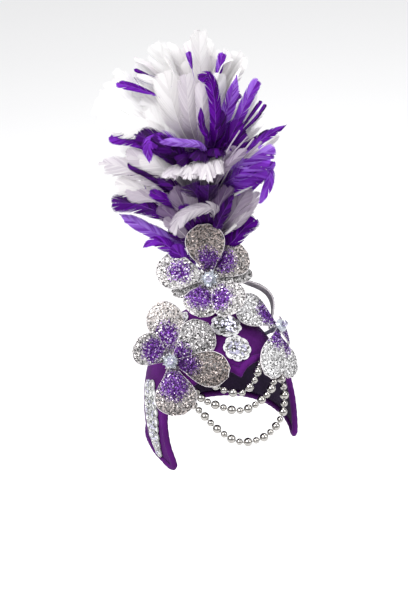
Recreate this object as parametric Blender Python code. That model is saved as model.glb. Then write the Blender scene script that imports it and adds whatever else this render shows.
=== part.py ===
"""Showgirl's feather headpiece: a violet cap with a plume, three glitter flowers, lace and bead swags.

Metres, +Z up, front towards -Y, the wearer's left towards +X.
The origin is the inside of the cap's crown, where it rests on the top of a head.
"""

import math
import random

import bmesh
import bpy
from mathutils import Matrix, Vector, geometry

# Cap: a shell on half an egg shape, whose crown's inner face is at the origin
CAP_HALF_WIDTH = 0.078
CAP_HALF_LENGTH = 0.100
CAP_HALF_HEIGHT = 0.125
CAP_WALL = 0.002
CAP_COLUMNS = 48
CAP_RINGS = 9
CAP_RING_STEP = 11.5
CAP_EDGE_MARGIN = 5.0
PEAK_TURN = math.radians(-4)
GAP = 0.0003

# Padded roll round the cap's edge
ROLL_WIDTH = 0.0075
ROLL_THICKNESS = 0.0065
ROLL_SIDES = 6
# How far inside the cap's outer edge the shell ends, just clear of the roll
SHELL_INSET = 0.0079

# Outer outline of the cap on one side: degrees round from the front, degrees down from the crown
OUTLINE = (
    # round, down
    (0, 48.0),
    (5, 45.8),
    (10, 44.2),
    (20, 43.3),
    (31, 44.5),
    (42, 50.0),
    (52, 57.0),
    (62, 63.5),
    (69, 69.5),
    (71, 76.0),
    (70, 83.0),
    (68, 90.0),
    (65, 96.0),
    (64, 100.0),
    (67, 103.2),
    (72, 103.8),
    (79, 102.6),
    (92, 101.8),
    (112, 102.0),
    (135, 103.5),
    (158, 105.5),
    (180, 106.5),
)

# Plume: a stem with collars of feathers
STEM_X = 0.0
STEM_Y = -0.004
STEM_RADIUS = 0.0055
STEM_FOOT_RADIUS = 0.0085
STEM_FOOT_HEIGHT = 0.008
STEM_NECK_HEIGHT = 0.030
STEM_TOP = 0.186
STEM_SIDES = 16
COLLAR_RADIUS = 0.0088
COLLAR_HEIGHT = 0.010
BLADE_STEPS = 4
BLADE_THICKNESS = 0.0016

# Screen-left of the plume, where it spreads widest, in degrees round from the front
PLUME_LEFT = -112.0
# Heading of the flower in front of the plume, where the low feathers stand steeply
PLUME_FRONT = -20.0

# One collar of feathers a row: lengths in metres, angles in degrees
TIERS = (
    # name, colour, root height, rise, spread, reach left, reach right, front steepness, blades, first
    ("plume_tier_1", "violet", 0.055, 0.076, 0.045, 0.084, 0.054, 0.75, 8, 10.0),
    ("plume_tier_2", "white", 0.072, 0.086, 0.042, 0.092, 0.058, 0.62, 8, 32.5),
    ("plume_tier_3", "violet", 0.088, 0.095, 0.040, 0.084, 0.074, 0.45, 8, 10.0),
    ("plume_tier_4", "white", 0.103, 0.100, 0.038, 0.096, 0.078, 0.30, 8, 32.5),
    ("plume_tier_5", "violet", 0.117, 0.105, 0.034, 0.088, 0.082, 0.15, 8, 10.0),
    ("plume_tier_6", "white", 0.131, 0.108, 0.030, 0.102, 0.066, 0.0, 8, 32.5),
    ("plume_tier_7", "violet", 0.145, 0.115, 0.025, 0.078, 0.062, 0.0, 8, 10.0),
    ("plume_tier_8", "white", 0.159, 0.118, 0.017, 0.074, 0.050, 0.0, 6, 38.0),
    ("plume_tier_9", "white", 0.173, 0.120, 0.010, 0.038, 0.036, 0.0, 5, 8.0),
)

# Half widths along a feather blade, as shares of its widest
BLADE_WIDTHS = (0.45, 0.85, 1.0, 0.78)
BLADE_HALF_WIDTH = 0.017

# The lock of feathers that stands on the stem's top
TIP_SECTIONS = (
    # height, lean to the left, half width, half thickness
    (0.1865, 0.000, 0.0050, 0.0050),
    (0.205, 0.000, 0.0060, 0.0045),
    (0.245, 0.000, 0.0095, 0.0035),
    (0.280, 0.003, 0.0120, 0.0020),
    (0.297, 0.004, 0.0060, 0.0012),
    (0.303, 0.005, 0.0010, 0.0006),
)

# Flowers
PETAL_SECTIONS = 6
PETAL_THICKNESS = 0.0013
# Place along a petal, and its half width there, as shares of the whole
PETAL_OUTLINE = (
    # along, half width
    (0.0, 0.13),
    (0.22, 0.42),
    (0.48, 0.86),
    (0.70, 1.0),
    (0.90, 0.70),
    (1.0, 0.26),
)
PETAL_CUP = 0.13
NECK_RADIUS = 0.0030
NECK_LENGTH = 0.0140
STALK_RADIUS = 0.0022
STALK_STEP = 0.0001
TUFT_RADIUS = 0.0095
FLOWER_SIDES = 10

# One flower a row: the tuft's place, the way that it faces, and what its stalk runs back to
FLOWERS = (
    # name, x, y, z, facing round, facing up, carrier
    ("crown_flower", -0.0164, -0.0390, 0.0590, -26.0, 26.0, "stem"),
    ("right_flower", -0.0626, -0.0333, -0.0241, -26.0, 30.0, "dome"),
    ("left_flower", 0.0610, -0.0332, -0.0176, 34.0, 36.0, "dome"),
)

# One petal a row: heading round from the front and pitch in degrees, sizes in metres
PETALS = (
    # name, heading, pitch, length, width, bow, roll, seat behind the tuft
    ("crown_flower_petal_1", -154, 86, 0.058, 0.038, 0.004, 0, 0.0035),
    ("crown_flower_petal_2", 74, 38, 0.046, 0.036, 0.004, 0, 0.0070),
    ("crown_flower_petal_3", 16, -25, 0.046, 0.036, 0.004, 0, 0.0040),
    ("crown_flower_petal_4", -56, -41, 0.040, 0.034, 0.004, 0, 0.0080),
    ("crown_flower_petal_5", -112, 18, 0.054, 0.035, 0.004, 0, 0.0055),
    ("crown_flower_leaf_1", 66, 4, 0.042, 0.016, 0.003, 0, 0.0105),
    ("crown_flower_leaf_2", -106, -16, 0.040, 0.016, 0.003, 0, 0.0105),
    ("right_flower_petal_1", 172, 70, 0.062, 0.037, 0.004, 0, 0.0106),
    ("right_flower_petal_2", 76, 38, 0.054, 0.039, 0.004, 0, 0.0075),
    ("right_flower_petal_3", 41, -1, 0.064, 0.035, 0.004, 0, 0.0035),
    ("right_flower_petal_4", -16, -51, 0.055, 0.042, 0.005, 0, 0.0053),
    ("right_flower_petal_5", -105, 38, 0.043, 0.034, 0.004, 0, 0.0050),
    ("left_flower_petal_1", -115, 37, 0.052, 0.041, 0.004, 0, 0.0026),
    ("left_flower_petal_2", -37, -21, 0.066, 0.032, 0.004, 0, 0.0020),
    ("left_flower_petal_3", -2, -46, 0.054, 0.031, 0.004, 0, 0.0085),
    ("left_flower_petal_4", 140, -35, 0.042, 0.032, 0.004, 0, 0.0045),
    ("left_flower_petal_5", -157, 50, 0.062, 0.028, 0.019, 50, 0.0134),
)

# Sequinned motifs on the dome: place in degrees, size in metres
MOTIFS = (
    # name, round, down, radius, lobes
    ("lace_motif_upper", 7.0, 16.5, 0.0155, 9),
    ("lace_motif_lower", 3.0, 32.6, 0.0140, 8),
    ("lace_motif_side", -112.0, 27.0, 0.0150, 8),
)
MOTIF_THICKNESS = 0.0012
MOTIF_LIFT = 0.0006

# Lace down the side panel, on the wearer's right: degrees round and down, half width in metres
SIDE_LACE = (
    # round, down, half width
    (104, 64.0, 0.010),
    (99, 69.5, 0.012),
    (94, 75.0, 0.015),
    (91, 81.0, 0.0145),
    (89, 87.0, 0.012),
    (86, 91.2, 0.009),
    (84, 95.0, 0.0045),
    (82, 97.4, 0.0020),
)

# Strings of beads: degrees round and down of the string's route, and its lift off the dome in metres.
# The first and last rows only say where along the cap's edge the thread is sewn on
BEAD_LARGE = 0.0044
BEAD_SMALL = 0.0033
BEAD_THREAD = 0.0009
BEAD_GAP = 0.0005
BEAD_LEAD = 0.0020
BEAD_SIDES = 10
SWAGS = {
    "bead_swag_upper": (
        # round, down, lift
        (-39, 50.3, -0.0015),
        (-28, 51.6, 0.0020),
        (-17, 54.6, 0.0030),
        (-7, 55.6, 0.0030),
        (4, 52.6, 0.0030),
        (12, 48.8, 0.0030),
        (19, 46.6, 0.0020),
        (24, 46.0, -0.0010),
    ),
    "bead_swag_middle": (
        (-50, 58.6, -0.0015),
        (-42, 58.0, 0.0008),
        (-32, 60.3, 0.0030),
        (-14, 63.6, 0.0030),
        (0, 62.9, 0.0030),
        (18, 59.5, 0.0030),
        (28, 56.2, 0.0030),
        (34, 53.8, 0.0020),
        (40, 52.7, -0.0015),
    ),
    "bead_swag_lower": (
        (-56, 62.2, -0.0015),
        (-49, 62.2, 0.0005),
        (-41, 65.2, 0.0030),
        (-30, 72.1, 0.0030),
        (-16, 78.3, 0.0030),
        (0, 79.2, 0.0030),
        (13, 77.0, 0.0030),
        (24, 73.2, 0.0030),
        (32, 67.3, 0.0030),
        (38.5, 61.0, 0.0020),
        (44, 57.0, -0.0015),
    ),
}

# Colours from the photograph, linear
VIOLET_CLOTH = (0.095, 0.012, 0.205, 1.0)
VIOLET_FEATHER = (0.085, 0.020, 0.330, 1.0)
WHITE_FEATHER = (0.780, 0.745, 0.760, 1.0)
SILVER_GLITTER = (0.480, 0.460, 0.450, 1.0)
ICE_WHITE = (0.640, 0.700, 0.800, 1.0)
SILVER_LACE = (0.620, 0.630, 0.610, 1.0)
SILVER_BEAD = (0.700, 0.690, 0.680, 1.0)


def clear_scene():
    for obj in list(bpy.data.objects):
        bpy.data.objects.remove(obj, do_unlink=True)


def material(name, colour, roughness, metallic):
    """A Principled BSDF material, made once for each name."""
    found = bpy.data.materials.get(name)
    if found:
        return found
    made = bpy.data.materials.new(name)
    made.use_nodes = True
    shader = made.node_tree.nodes["Principled BSDF"]
    shader.inputs["Base Color"].default_value = colour
    shader.inputs["Roughness"].default_value = roughness
    shader.inputs["Metallic"].default_value = metallic
    return made


def node_from(name, mesh_data, mat, smooth_angle=math.radians(50)):
    """Links the bmesh as one named object with its faces pointing out."""
    bmesh.ops.recalc_face_normals(mesh_data, faces=mesh_data.faces)
    if mesh_data.calc_volume(signed=True) < 0:
        bmesh.ops.reverse_faces(mesh_data, faces=mesh_data.faces)
    mesh = bpy.data.meshes.new(name)
    mesh_data.to_mesh(mesh)
    mesh_data.free()
    mesh.shade_smooth()
    mesh.set_sharp_from_angle(angle=smooth_angle)
    mesh.materials.append(mat)
    obj = bpy.data.objects.new(name, mesh)
    bpy.context.scene.collection.objects.link(obj)
    return obj


def loft(rings, closed=False):
    """A skin through rings of as many points each, with flat ends unless the rings close on themselves."""
    skin = bmesh.new()
    loops = [[skin.verts.new(point) for point in ring] for ring in rings]
    pairs = list(zip(loops, loops[1:]))
    if closed:
        pairs.append((loops[-1], loops[0]))
    for near, far in pairs:
        for i in range(len(near)):
            j = (i + 1) % len(near)
            skin.faces.new((near[i], near[j], far[j], far[i]))
    if not closed:
        skin.faces.new(loops[0])
        skin.faces.new(list(reversed(loops[-1])))
    return skin


def heading(around, up):
    """The unit vector that points this many degrees round from the front, and this many up."""
    a = math.radians(around)
    e = math.radians(up)
    return Vector((math.sin(a) * math.cos(e), -math.cos(a) * math.cos(e), math.sin(e)))


def dome(around, down, lift=0.0):
    """A point above the cap's outer face, by degrees round from the front and down from the crown."""
    a = math.radians(around)
    p = math.radians(down)
    return Vector((
        (CAP_HALF_WIDTH + lift) * math.sin(p) * math.sin(a),
        -(CAP_HALF_LENGTH + lift) * math.sin(p) * math.cos(a),
        (CAP_HALF_HEIGHT + lift) * math.cos(p) + CAP_WALL - CAP_HALF_HEIGHT,
    ))


def dome_angles(point):
    """Degrees round and down of a point on the cap's outer face."""
    x = point.x / CAP_HALF_WIDTH
    y = -point.y / CAP_HALF_LENGTH
    z = (point.z - CAP_WALL + CAP_HALF_HEIGHT) / CAP_HALF_HEIGHT
    return math.degrees(math.atan2(x, y)), math.degrees(math.atan2(math.hypot(x, y), z))


def dome_normal(around, down):
    a = math.radians(around)
    p = math.radians(down)
    return Vector((
        math.sin(p) * math.sin(a) / CAP_HALF_WIDTH,
        -math.sin(p) * math.cos(a) / CAP_HALF_LENGTH,
        math.cos(p) / CAP_HALF_HEIGHT,
    )).normalized()


def smooth_path(points, count, closed=False):
    """Evenly spaced points on a Catmull-Rom curve through the given ones."""
    if closed:
        control = [points[-1], *points, points[0], points[1]]
    else:
        control = [points[0] * 2 - points[1], *points, points[-1] * 2 - points[-2]]
    fine = []
    per_span = 16
    for a, b, c, d in zip(control, control[1:], control[2:], control[3:]):
        for step in range(per_span):
            t = step / per_span
            fine.append(
                0.5 * (2 * b + (c - a) * t + (2 * a - 5 * b + 4 * c - d) * t**2 + (3 * b - a - 3 * c + d) * t**3)
            )
    fine.append(control[-2].copy())
    travelled = [0.0]
    for a, b in zip(fine, fine[1:]):
        travelled.append(travelled[-1] + (b - a).length)
    spans = count if closed else count - 1
    even = []
    k = 0
    for i in range(count):
        wanted = travelled[-1] * i / spans
        while k < len(fine) - 2 and travelled[k + 1] < wanted:
            k += 1
        share = (wanted - travelled[k]) / max(travelled[k + 1] - travelled[k], 1e-9)
        even.append(fine[k].lerp(fine[k + 1], min(share, 1.0)))
    return even


def path_length(points):
    return sum((b - a).length for a, b in zip(points, points[1:]))


def cap_outline(count):
    """Even points round the cap's outer edge, from the peak round the wearer's left and back."""
    left = []
    for around, down in OUTLINE:
        turn = math.degrees(PEAK_TURN) * math.cos(math.radians(around) / 2) ** 6
        left.append(dome(around + turn, down))
    right = []
    for around, down in reversed(OUTLINE[1:-1]):
        turn = math.degrees(PEAK_TURN) * math.cos(math.radians(around) / 2) ** 6
        right.append(dome(-around + turn, down))
    return smooth_path(left + right, count, closed=True)


def inset_outline(outline, inset):
    """Degrees round and down of the outline moved up the dome by the inset."""
    moved = []
    count = len(outline)
    for i, point in enumerate(outline):
        along = (outline[(i + 1) % count] - outline[i - 1]).normalized()
        around, down = dome_angles(point)
        inward = dome_normal(around, down).cross(along).normalized()
        moved.append(dome_angles(point + inward * inset))
    return moved


def is_inside(point, outline):
    """Whether a point of the chart lies inside the closed outline, by counting the sides to its right."""
    inside = False
    for a, b in zip(outline, outline[1:] + outline[:1]):
        if (a.y > point.y) != (b.y > point.y):
            crossing = a.x + (b.x - a.x) * (point.y - a.y) / (b.y - a.y)
            if point.x < crossing:
                inside = not inside
    return inside


def on_plan(around, down):
    """Degrees round and down as a flat chart with the crown at its centre."""
    a = math.radians(around)
    return Vector((down * math.sin(a), -down * math.cos(a)))


def from_plan(point):
    return math.degrees(math.atan2(point.x, -point.y)), point.length


def make_cap():
    """The shell: triangles fill the outline on a flat chart, and are laid on the dome inside and out."""
    edge = [on_plan(*place) for place in inset_outline(cap_outline(CAP_COLUMNS), SHELL_INSET)]
    inner = [Vector((0.0, 0.0))]
    for ring in range(1, CAP_RINGS + 1):
        down = CAP_RING_STEP * ring
        count = 6 * ring if ring < 5 else 30
        for k in range(count):
            place = on_plan(360.0 * (k + 0.5 * (ring % 2)) / count, down)
            if is_inside(place, edge) and min((place - corner).length for corner in edge) > CAP_EDGE_MARGIN:
                inner.append(place)
    rim = [(k, (k + 1) % CAP_COLUMNS) for k in range(CAP_COLUMNS)]
    points, _, triangles, *_ = geometry.delaunay_2d_cdt(edge + inner, rim, [], 1, 1e-6)
    shell = bmesh.new()
    skins = []
    for lift in (0.0, -CAP_WALL):
        skins.append([shell.verts.new(dome(*from_plan(point), lift)) for point in points])
    for skin in skins:
        for corners in triangles:
            shell.faces.new([skin[k] for k in corners])
    outer, lining = skins
    for near, far in rim:
        shell.faces.new((outer[near], lining[near], lining[far], outer[far]))
    node_from("cap_shell", shell, material("violet_cloth", VIOLET_CLOTH, 0.85, 0.0))


def make_roll():
    """The padded roll: an oval section swept round the cap's edge."""
    outline = cap_outline(CAP_COLUMNS)
    rings = []
    for i, point in enumerate(outline):
        along = (outline[(i + 1) % CAP_COLUMNS] - outline[i - 1]).normalized()
        around, down = dome_angles(point)
        out = dome_normal(around, down)
        inward = out.cross(along).normalized()
        centre = point + inward * (ROLL_WIDTH / 2) - out * (CAP_WALL / 2)
        ring = []
        for k in range(ROLL_SIDES):
            turn = math.tau * (k + 0.5) / ROLL_SIDES
            ring.append(
                centre + inward * (ROLL_WIDTH / 2 * math.cos(turn)) + out * (ROLL_THICKNESS / 2 * math.sin(turn))
            )
        rings.append(ring)
    node_from("rim_roll", loft(rings, closed=True), material("violet_cloth", VIOLET_CLOTH, 0.85, 0.0))


def dome_height(x, y):
    """Height of the cap's outer face above a point of the plan."""
    share = 1 - (x / CAP_HALF_WIDTH) ** 2 - (y / CAP_HALF_LENGTH) ** 2
    return CAP_HALF_HEIGHT * math.sqrt(share) + CAP_WALL - CAP_HALF_HEIGHT


def make_stem():
    """The post: a flared foot that follows the dome, a neck and a straight pole."""
    rings = []
    foot = []
    for k in range(STEM_SIDES):
        turn = math.tau * k / STEM_SIDES
        x = STEM_X + STEM_FOOT_RADIUS * math.cos(turn)
        y = STEM_Y + STEM_FOOT_RADIUS * math.sin(turn)
        foot.append(Vector((x, y, dome_height(x, y) + GAP * 2)))
    rings.append(foot)
    profile = (
        (STEM_FOOT_RADIUS, STEM_FOOT_HEIGHT),
        (STEM_RADIUS, STEM_NECK_HEIGHT),
        (STEM_RADIUS, STEM_TOP),
    )
    for radius, height in profile:
        ring = []
        for k in range(STEM_SIDES):
            turn = math.tau * k / STEM_SIDES
            ring.append(Vector((STEM_X + radius * math.cos(turn), STEM_Y + radius * math.sin(turn), height)))
        rings.append(ring)
    post = bmesh.new()
    loops = [[post.verts.new(point) for point in ring] for ring in rings]
    for near, far in zip(loops, loops[1:]):
        for i in range(STEM_SIDES):
            j = (i + 1) % STEM_SIDES
            post.faces.new((near[i], near[j], far[j], far[i]))
    below = post.verts.new((STEM_X, STEM_Y, dome_height(STEM_X, STEM_Y) + GAP * 2))
    for i in range(STEM_SIDES):
        post.faces.new((loops[0][(i + 1) % STEM_SIDES], loops[0][i], below))
    post.faces.new(loops[-1])
    node_from("plume_stem", post, material("violet_cloth", VIOLET_CLOTH, 0.85, 0.0))


def tier_height(tier, radius, around):
    """Height of a tier's curve this far from the stem's axis, at this heading."""
    root, rise, spread, steepness = tier
    front = max(0.0, math.cos(math.radians(around - PLUME_FRONT))) ** 2
    span = spread * (1 - steepness * front)
    return root + rise * (1 - math.exp(-(radius - COLLAR_RADIUS) / span))


def tier_point(tier, radius, around, lift):
    """A point on a tier's curved face, or lifted off it along the face's normal in its own plane."""
    step = 0.0005
    slope = (tier_height(tier, radius + step, around) - tier_height(tier, radius, around)) / step
    length = math.hypot(slope, 1.0)
    shifted = radius - lift * slope / length
    height = tier_height(tier, radius, around) + lift / length
    out = heading(around, 0)
    return Vector((STEM_X + out.x * shifted, STEM_Y + out.y * shifted, height))


def blade_radii(tier, reach, around):
    """Distances from the axis that cut the blade's curve into even steps."""
    fine = 60
    radii = [COLLAR_RADIUS + (reach - COLLAR_RADIUS) * k / fine for k in range(fine + 1)]
    points = [Vector((r, 0, tier_height(tier, r, around))) for r in radii]
    travelled = [0.0]
    for a, b in zip(points, points[1:]):
        travelled.append(travelled[-1] + (b - a).length)
    stops = []
    for step in range(1, BLADE_STEPS + 2):
        wanted = travelled[-1] * step / (BLADE_STEPS + 1)
        k = min(range(fine + 1), key=lambda i: abs(travelled[i] - wanted))
        stops.append(radii[k])
    return stops


def make_tier(name, colour, root, rise, spread, left, right, steepness, blades, first, chance):
    """A collar round the stem, whose outer faces are drawn out into feather blades."""
    tier = (root, rise, spread, steepness)
    sides = blades * 2
    bore = (STEM_RADIUS + GAP) / math.cos(math.pi / sides)
    collar = bmesh.new()
    loops = []
    for radius, height in (
        (bore, root - COLLAR_HEIGHT / 2),
        (COLLAR_RADIUS, root - COLLAR_HEIGHT / 2),
        (COLLAR_RADIUS, root + COLLAR_HEIGHT / 2),
        (bore, root + COLLAR_HEIGHT / 2),
    ):
        loop = []
        for k in range(sides):
            out = heading(first + 360.0 * (k - 0.5) / sides, 0)
            loop.append(collar.verts.new((STEM_X + out.x * radius, STEM_Y + out.y * radius, height)))
        loops.append(loop)
    for near, far in zip(loops, loops[1:] + loops[:1]):
        for k in range(sides):
            j = (k + 1) % sides
            is_blade = near is loops[1] and k % 2 == 0
            if not is_blade:
                collar.faces.new((near[k], near[j], far[j], far[k]))
    for k in range(0, sides, 2):
        around = first + 360.0 * k / sides
        side = 0.5 - 0.5 * math.cos(math.radians(around - PLUME_LEFT))
        front = max(0.0, math.cos(math.radians(around - PLUME_FRONT))) ** 2
        reach = (left + (right - left) * side) * chance.uniform(0.90, 1.06) * (1 - 0.87 * steepness * front)
        low = loops[1]
        high = loops[2]
        j = (k + 1) % sides
        last = [low[k], low[j], high[j], high[k]]
        room = math.tan(math.radians(180.0 / blades)) * 0.94
        stops = blade_radii(tier, reach, around)
        for radius, share in zip(stops, BLADE_WIDTHS):
            half = min(BLADE_HALF_WIDTH * share, radius * room)
            swing = math.degrees(math.atan2(half, radius))
            outer = math.hypot(radius, half)
            ring = []
            for turn, lift in (
                (-swing, -BLADE_THICKNESS / 2),
                (swing, -BLADE_THICKNESS / 2),
                (swing, BLADE_THICKNESS / 2),
                (-swing, BLADE_THICKNESS / 2),
            ):
                ring.append(collar.verts.new(tier_point(tier, outer, around + turn, lift)))
            for a in range(4):
                b = (a + 1) % 4
                collar.faces.new((last[a], last[b], ring[b], ring[a]))
            last = ring
        tip = collar.verts.new(tier_point(tier, stops[-1], around, 0.0))
        for a in range(4):
            collar.faces.new((last[a], last[(a + 1) % 4], tip))
    if colour == "violet":
        mat = material("violet_feather", VIOLET_FEATHER, 0.6, 0.0)
    else:
        mat = material("white_feather", WHITE_FEATHER, 0.6, 0.0)
    node_from(name, collar, mat)


def make_plume():
    chance = random.Random(7)
    for row in TIERS:
        make_tier(*row, chance)


def make_plume_tip():
    """The upright lock on the stem's top, an oval section that flattens towards its end."""
    left = heading(PLUME_LEFT, 0)
    depth = heading(PLUME_LEFT + 90, 0)
    rings = []
    for height, lean, half, thick in TIP_SECTIONS:
        ring = []
        for k in range(8):
            turn = math.tau * k / 8
            offset = left * (lean + half * math.cos(turn)) + depth * (thick * math.sin(turn))
            ring.append(Vector((STEM_X, STEM_Y, height)) + offset)
        rings.append(ring)
    node_from("plume_tip", loft(rings), material("white_feather", WHITE_FEATHER, 0.6, 0.0))


def flower_axis(flower):
    name, x, y, z, around, up, carrier = flower
    return Vector((x, y, z)), heading(around, up), carrier


def touches(point, carrier):
    """Whether a point has come within the gap of the stem or of the dome."""
    if carrier == "stem":
        return math.hypot(point.x - STEM_X, point.y - STEM_Y) < STEM_RADIUS + GAP
    return point.z < dome_height(point.x, point.y) + GAP


def stalk_length(centre, tilt, carrier):
    """How far a stalk runs back from the tuft until its end meets its carrier."""
    length = NECK_LENGTH
    while True:
        for k in range(FLOWER_SIDES):
            turn = math.tau * k / FLOWER_SIDES
            rim = Vector((STALK_RADIUS * math.cos(turn), STALK_RADIUS * math.sin(turn), -length))
            if touches(centre + tilt @ rim, carrier):
                return length
        length += STALK_STEP


def make_petal(name, flower, around, pitch, length, width, bow, roll, seat):
    """A cupped teardrop petal, thin as stiff cloth, from the flower's neck to its tip."""
    centre, facing, _ = flower_axis(flower)
    along = heading(around, pitch)
    normal = (facing - along * facing.dot(along)).normalized()
    normal = Matrix.Rotation(math.radians(roll), 3, along) @ normal
    across = along.cross(normal).normalized()
    lean = along.dot(facing)
    root = (NECK_RADIUS + GAP + PETAL_THICKNESS / 2 * abs(lean)) / math.sqrt(1 - lean**2)
    back = facing * seat
    points_across = (-1.0, -0.5, 0.0, 0.5, 1.0)
    rings = []
    for share, half in PETAL_OUTLINE:
        middle = centre - back + along * (root + (length - root) * share) + normal * (bow * math.sin(math.pi * share))
        reach = half * width / 2
        upper = []
        lower = []
        for side in points_across:
            sink = normal * (-PETAL_CUP * reach * side**2)
            place = middle + across * (reach * side) + sink
            upper.append(place + normal * (PETAL_THICKNESS / 2))
            lower.append(place - normal * (PETAL_THICKNESS / 2))
        rings.append(upper + lower[::-1])
    mat = material("silver_glitter", SILVER_GLITTER, 0.45, 0.6)
    node_from(name, loft(rings), mat)


def make_flower_centre(flower):
    """The tuft with its crystal, on a stalk that runs back to the piece that carries the flower."""
    name = flower[0]
    centre, facing, carrier = flower_axis(flower)
    tilt = facing.to_track_quat("Z", "Y")
    profile = (
        (STALK_RADIUS, -stalk_length(centre, tilt, carrier)),
        (STALK_RADIUS, -NECK_LENGTH - 0.0010),
        (NECK_RADIUS, -NECK_LENGTH),
        (NECK_RADIUS, -0.0005),
        (TUFT_RADIUS * 0.62, 0.0006),
        (TUFT_RADIUS * 0.82, 0.0030),
        (TUFT_RADIUS * 0.55, 0.0058),
        (TUFT_RADIUS * 0.30, 0.0068),
        (TUFT_RADIUS * 0.30, 0.0085),
        (TUFT_RADIUS * 0.16, 0.0098),
    )
    rings = []
    for radius, height in profile:
        ring = []
        for k in range(FLOWER_SIDES):
            turn = math.tau * k / FLOWER_SIDES
            ring.append(centre + tilt @ Vector((radius * math.cos(turn), radius * math.sin(turn), height)))
        rings.append(ring)
    node_from(f"{name}_centre", loft(rings), material("ice_white", ICE_WHITE, 0.35, 0.1))


def make_flowers():
    by_name = {flower[0]: flower for flower in FLOWERS}
    for name, *sizes in PETALS:
        make_petal(name, by_name[name.rsplit("_", 2)[0]], *sizes)
    for flower in FLOWERS:
        make_flower_centre(flower)


def make_motif(name, around, down, radius, lobes):
    """A scalloped disc of lace laid on the dome."""
    per_lobe = 3
    count = lobes * per_lobe
    normal = dome_normal(around, down)
    middle = dome(around, down)
    side = normal.cross(Vector((0, 0, 1))).normalized()
    up = side.cross(normal)
    motif = bmesh.new()
    faces = []
    for lift in (MOTIF_LIFT, MOTIF_LIFT + MOTIF_THICKNESS):
        hub = motif.verts.new(dome(around, down, lift))
        rim = []
        for k in range(count):
            turn = math.tau * k / count
            reach = radius * (1.0 if k % per_lobe else 0.86)
            flat = middle + side * (reach * math.cos(turn)) + up * (reach * math.sin(turn))
            rim.append(motif.verts.new(dome(*dome_angles(flat), lift)))
        faces.append((hub, rim))
    for hub, rim in faces:
        for k in range(count):
            motif.faces.new((hub, rim[k], rim[(k + 1) % count]))
    low = faces[0][1]
    high = faces[1][1]
    for k in range(count):
        j = (k + 1) % count
        motif.faces.new((low[k], low[j], high[j], high[k]))
    node_from(name, motif, material("silver_lace", SILVER_LACE, 0.4, 0.5))


def make_side_lace(name, side):
    """A band of lace down the side panel, scalloped along both edges."""
    rows = [dome(side * around, down) for around, down, _ in SIDE_LACE]
    count = 15
    path = smooth_path(rows, count)
    rings = []
    for i, point in enumerate(path):
        before = path[max(i - 1, 0)]
        after = path[min(i + 1, count - 1)]
        along = (after - before).normalized()
        normal = dome_normal(*dome_angles(point))
        across = normal.cross(along).normalized()
        place = i / (count - 1) * (len(SIDE_LACE) - 1)
        k = min(int(place), len(SIDE_LACE) - 2)
        half = SIDE_LACE[k][2] + (SIDE_LACE[k + 1][2] - SIDE_LACE[k][2]) * (place - k)
        if i % 2:
            half *= 0.82
        ring = []
        for reach, lift in (
            (-half, MOTIF_LIFT),
            (0.0, MOTIF_LIFT),
            (half, MOTIF_LIFT),
            (half, MOTIF_LIFT + MOTIF_THICKNESS),
            (0.0, MOTIF_LIFT + MOTIF_THICKNESS),
            (-half, MOTIF_LIFT + MOTIF_THICKNESS),
        ):
            ring.append(dome(*dome_angles(point + across * reach), lift))
        rings.append(ring)
    node_from(name, loft(rings), material("silver_lace", SILVER_LACE, 0.4, 0.5))


def sewing_point(around):
    """A point just below the roll, where the cap's edge has this heading."""
    outline = cap_outline(CAP_COLUMNS)
    places = [dome_angles(point) for point in outline]
    for i, point in enumerate(outline):
        j = (i + 1) % CAP_COLUMNS
        first = places[i][0]
        second = places[j][0]
        is_front = max(places[i][1], places[j][1]) < 75
        if is_front and min(first, second) <= around <= max(first, second):
            share = (around - first) / (second - first)
            edge = point.lerp(outline[j], share)
            along = (outline[j] - point).normalized()
            out = dome_normal(*dome_angles(edge))
            return edge - out * (CAP_WALL / 2) - out.cross(along) * GAP
    raise ValueError(f"no cap edge at {around} degrees round")


def make_swag(name, route):
    """Large and small beads by turns on a thread, fused to one body that follows the route."""
    control = [dome(around, down, lift) for around, down, lift in route[1:-1]]
    control.insert(0, sewing_point(route[0][0]))
    control.append(sewing_point(route[-1][0]))
    fine = smooth_path(control, 400)
    total = path_length(fine)
    pitch = BEAD_LARGE + BEAD_SMALL + BEAD_GAP
    strung = total - 2 * (BEAD_SMALL + BEAD_LEAD)
    count = int(strung / pitch)
    if count % 2:
        count -= 1
    stretch = strung / (count * pitch)
    sections = [(0.0, BEAD_THREAD)]
    place = BEAD_SMALL + BEAD_LEAD
    for i in range(count + 1):
        radius = BEAD_LARGE if i % 2 else BEAD_SMALL
        for angle in (-58, 0, 58) if i % 2 else (-42, 42):
            offset = radius * math.sin(math.radians(angle))
            size = radius * math.cos(math.radians(angle))
            sections.append((place + offset, size))
        middle = place + (radius + BEAD_GAP / 2) * stretch
        sections.append((middle, BEAD_THREAD))
        place += pitch * stretch
    sections[-1] = (total, BEAD_THREAD)
    travelled = [0.0]
    for a, b in zip(fine, fine[1:]):
        travelled.append(travelled[-1] + (b - a).length)
    rings = []
    frame_side = None
    for place, size in sections:
        k = min(range(len(fine)), key=lambda i: abs(travelled[i] - place))
        k = min(max(k, 1), len(fine) - 2)
        along = (fine[k + 1] - fine[k - 1]).normalized()
        centre = fine[k] + along * (place - travelled[k])
        if frame_side is None:
            frame_side = along.cross(dome_normal(*dome_angles(centre))).normalized()
        frame_side = (frame_side - along * frame_side.dot(along)).normalized()
        frame_up = along.cross(frame_side)
        ring = []
        for s in range(BEAD_SIDES):
            turn = math.tau * s / BEAD_SIDES
            ring.append(centre + frame_side * (size * math.cos(turn)) + frame_up * (size * math.sin(turn)))
        rings.append(ring)
    node_from(name, loft(rings), material("silver_bead", SILVER_BEAD, 0.18, 1.0), math.radians(40))


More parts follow.
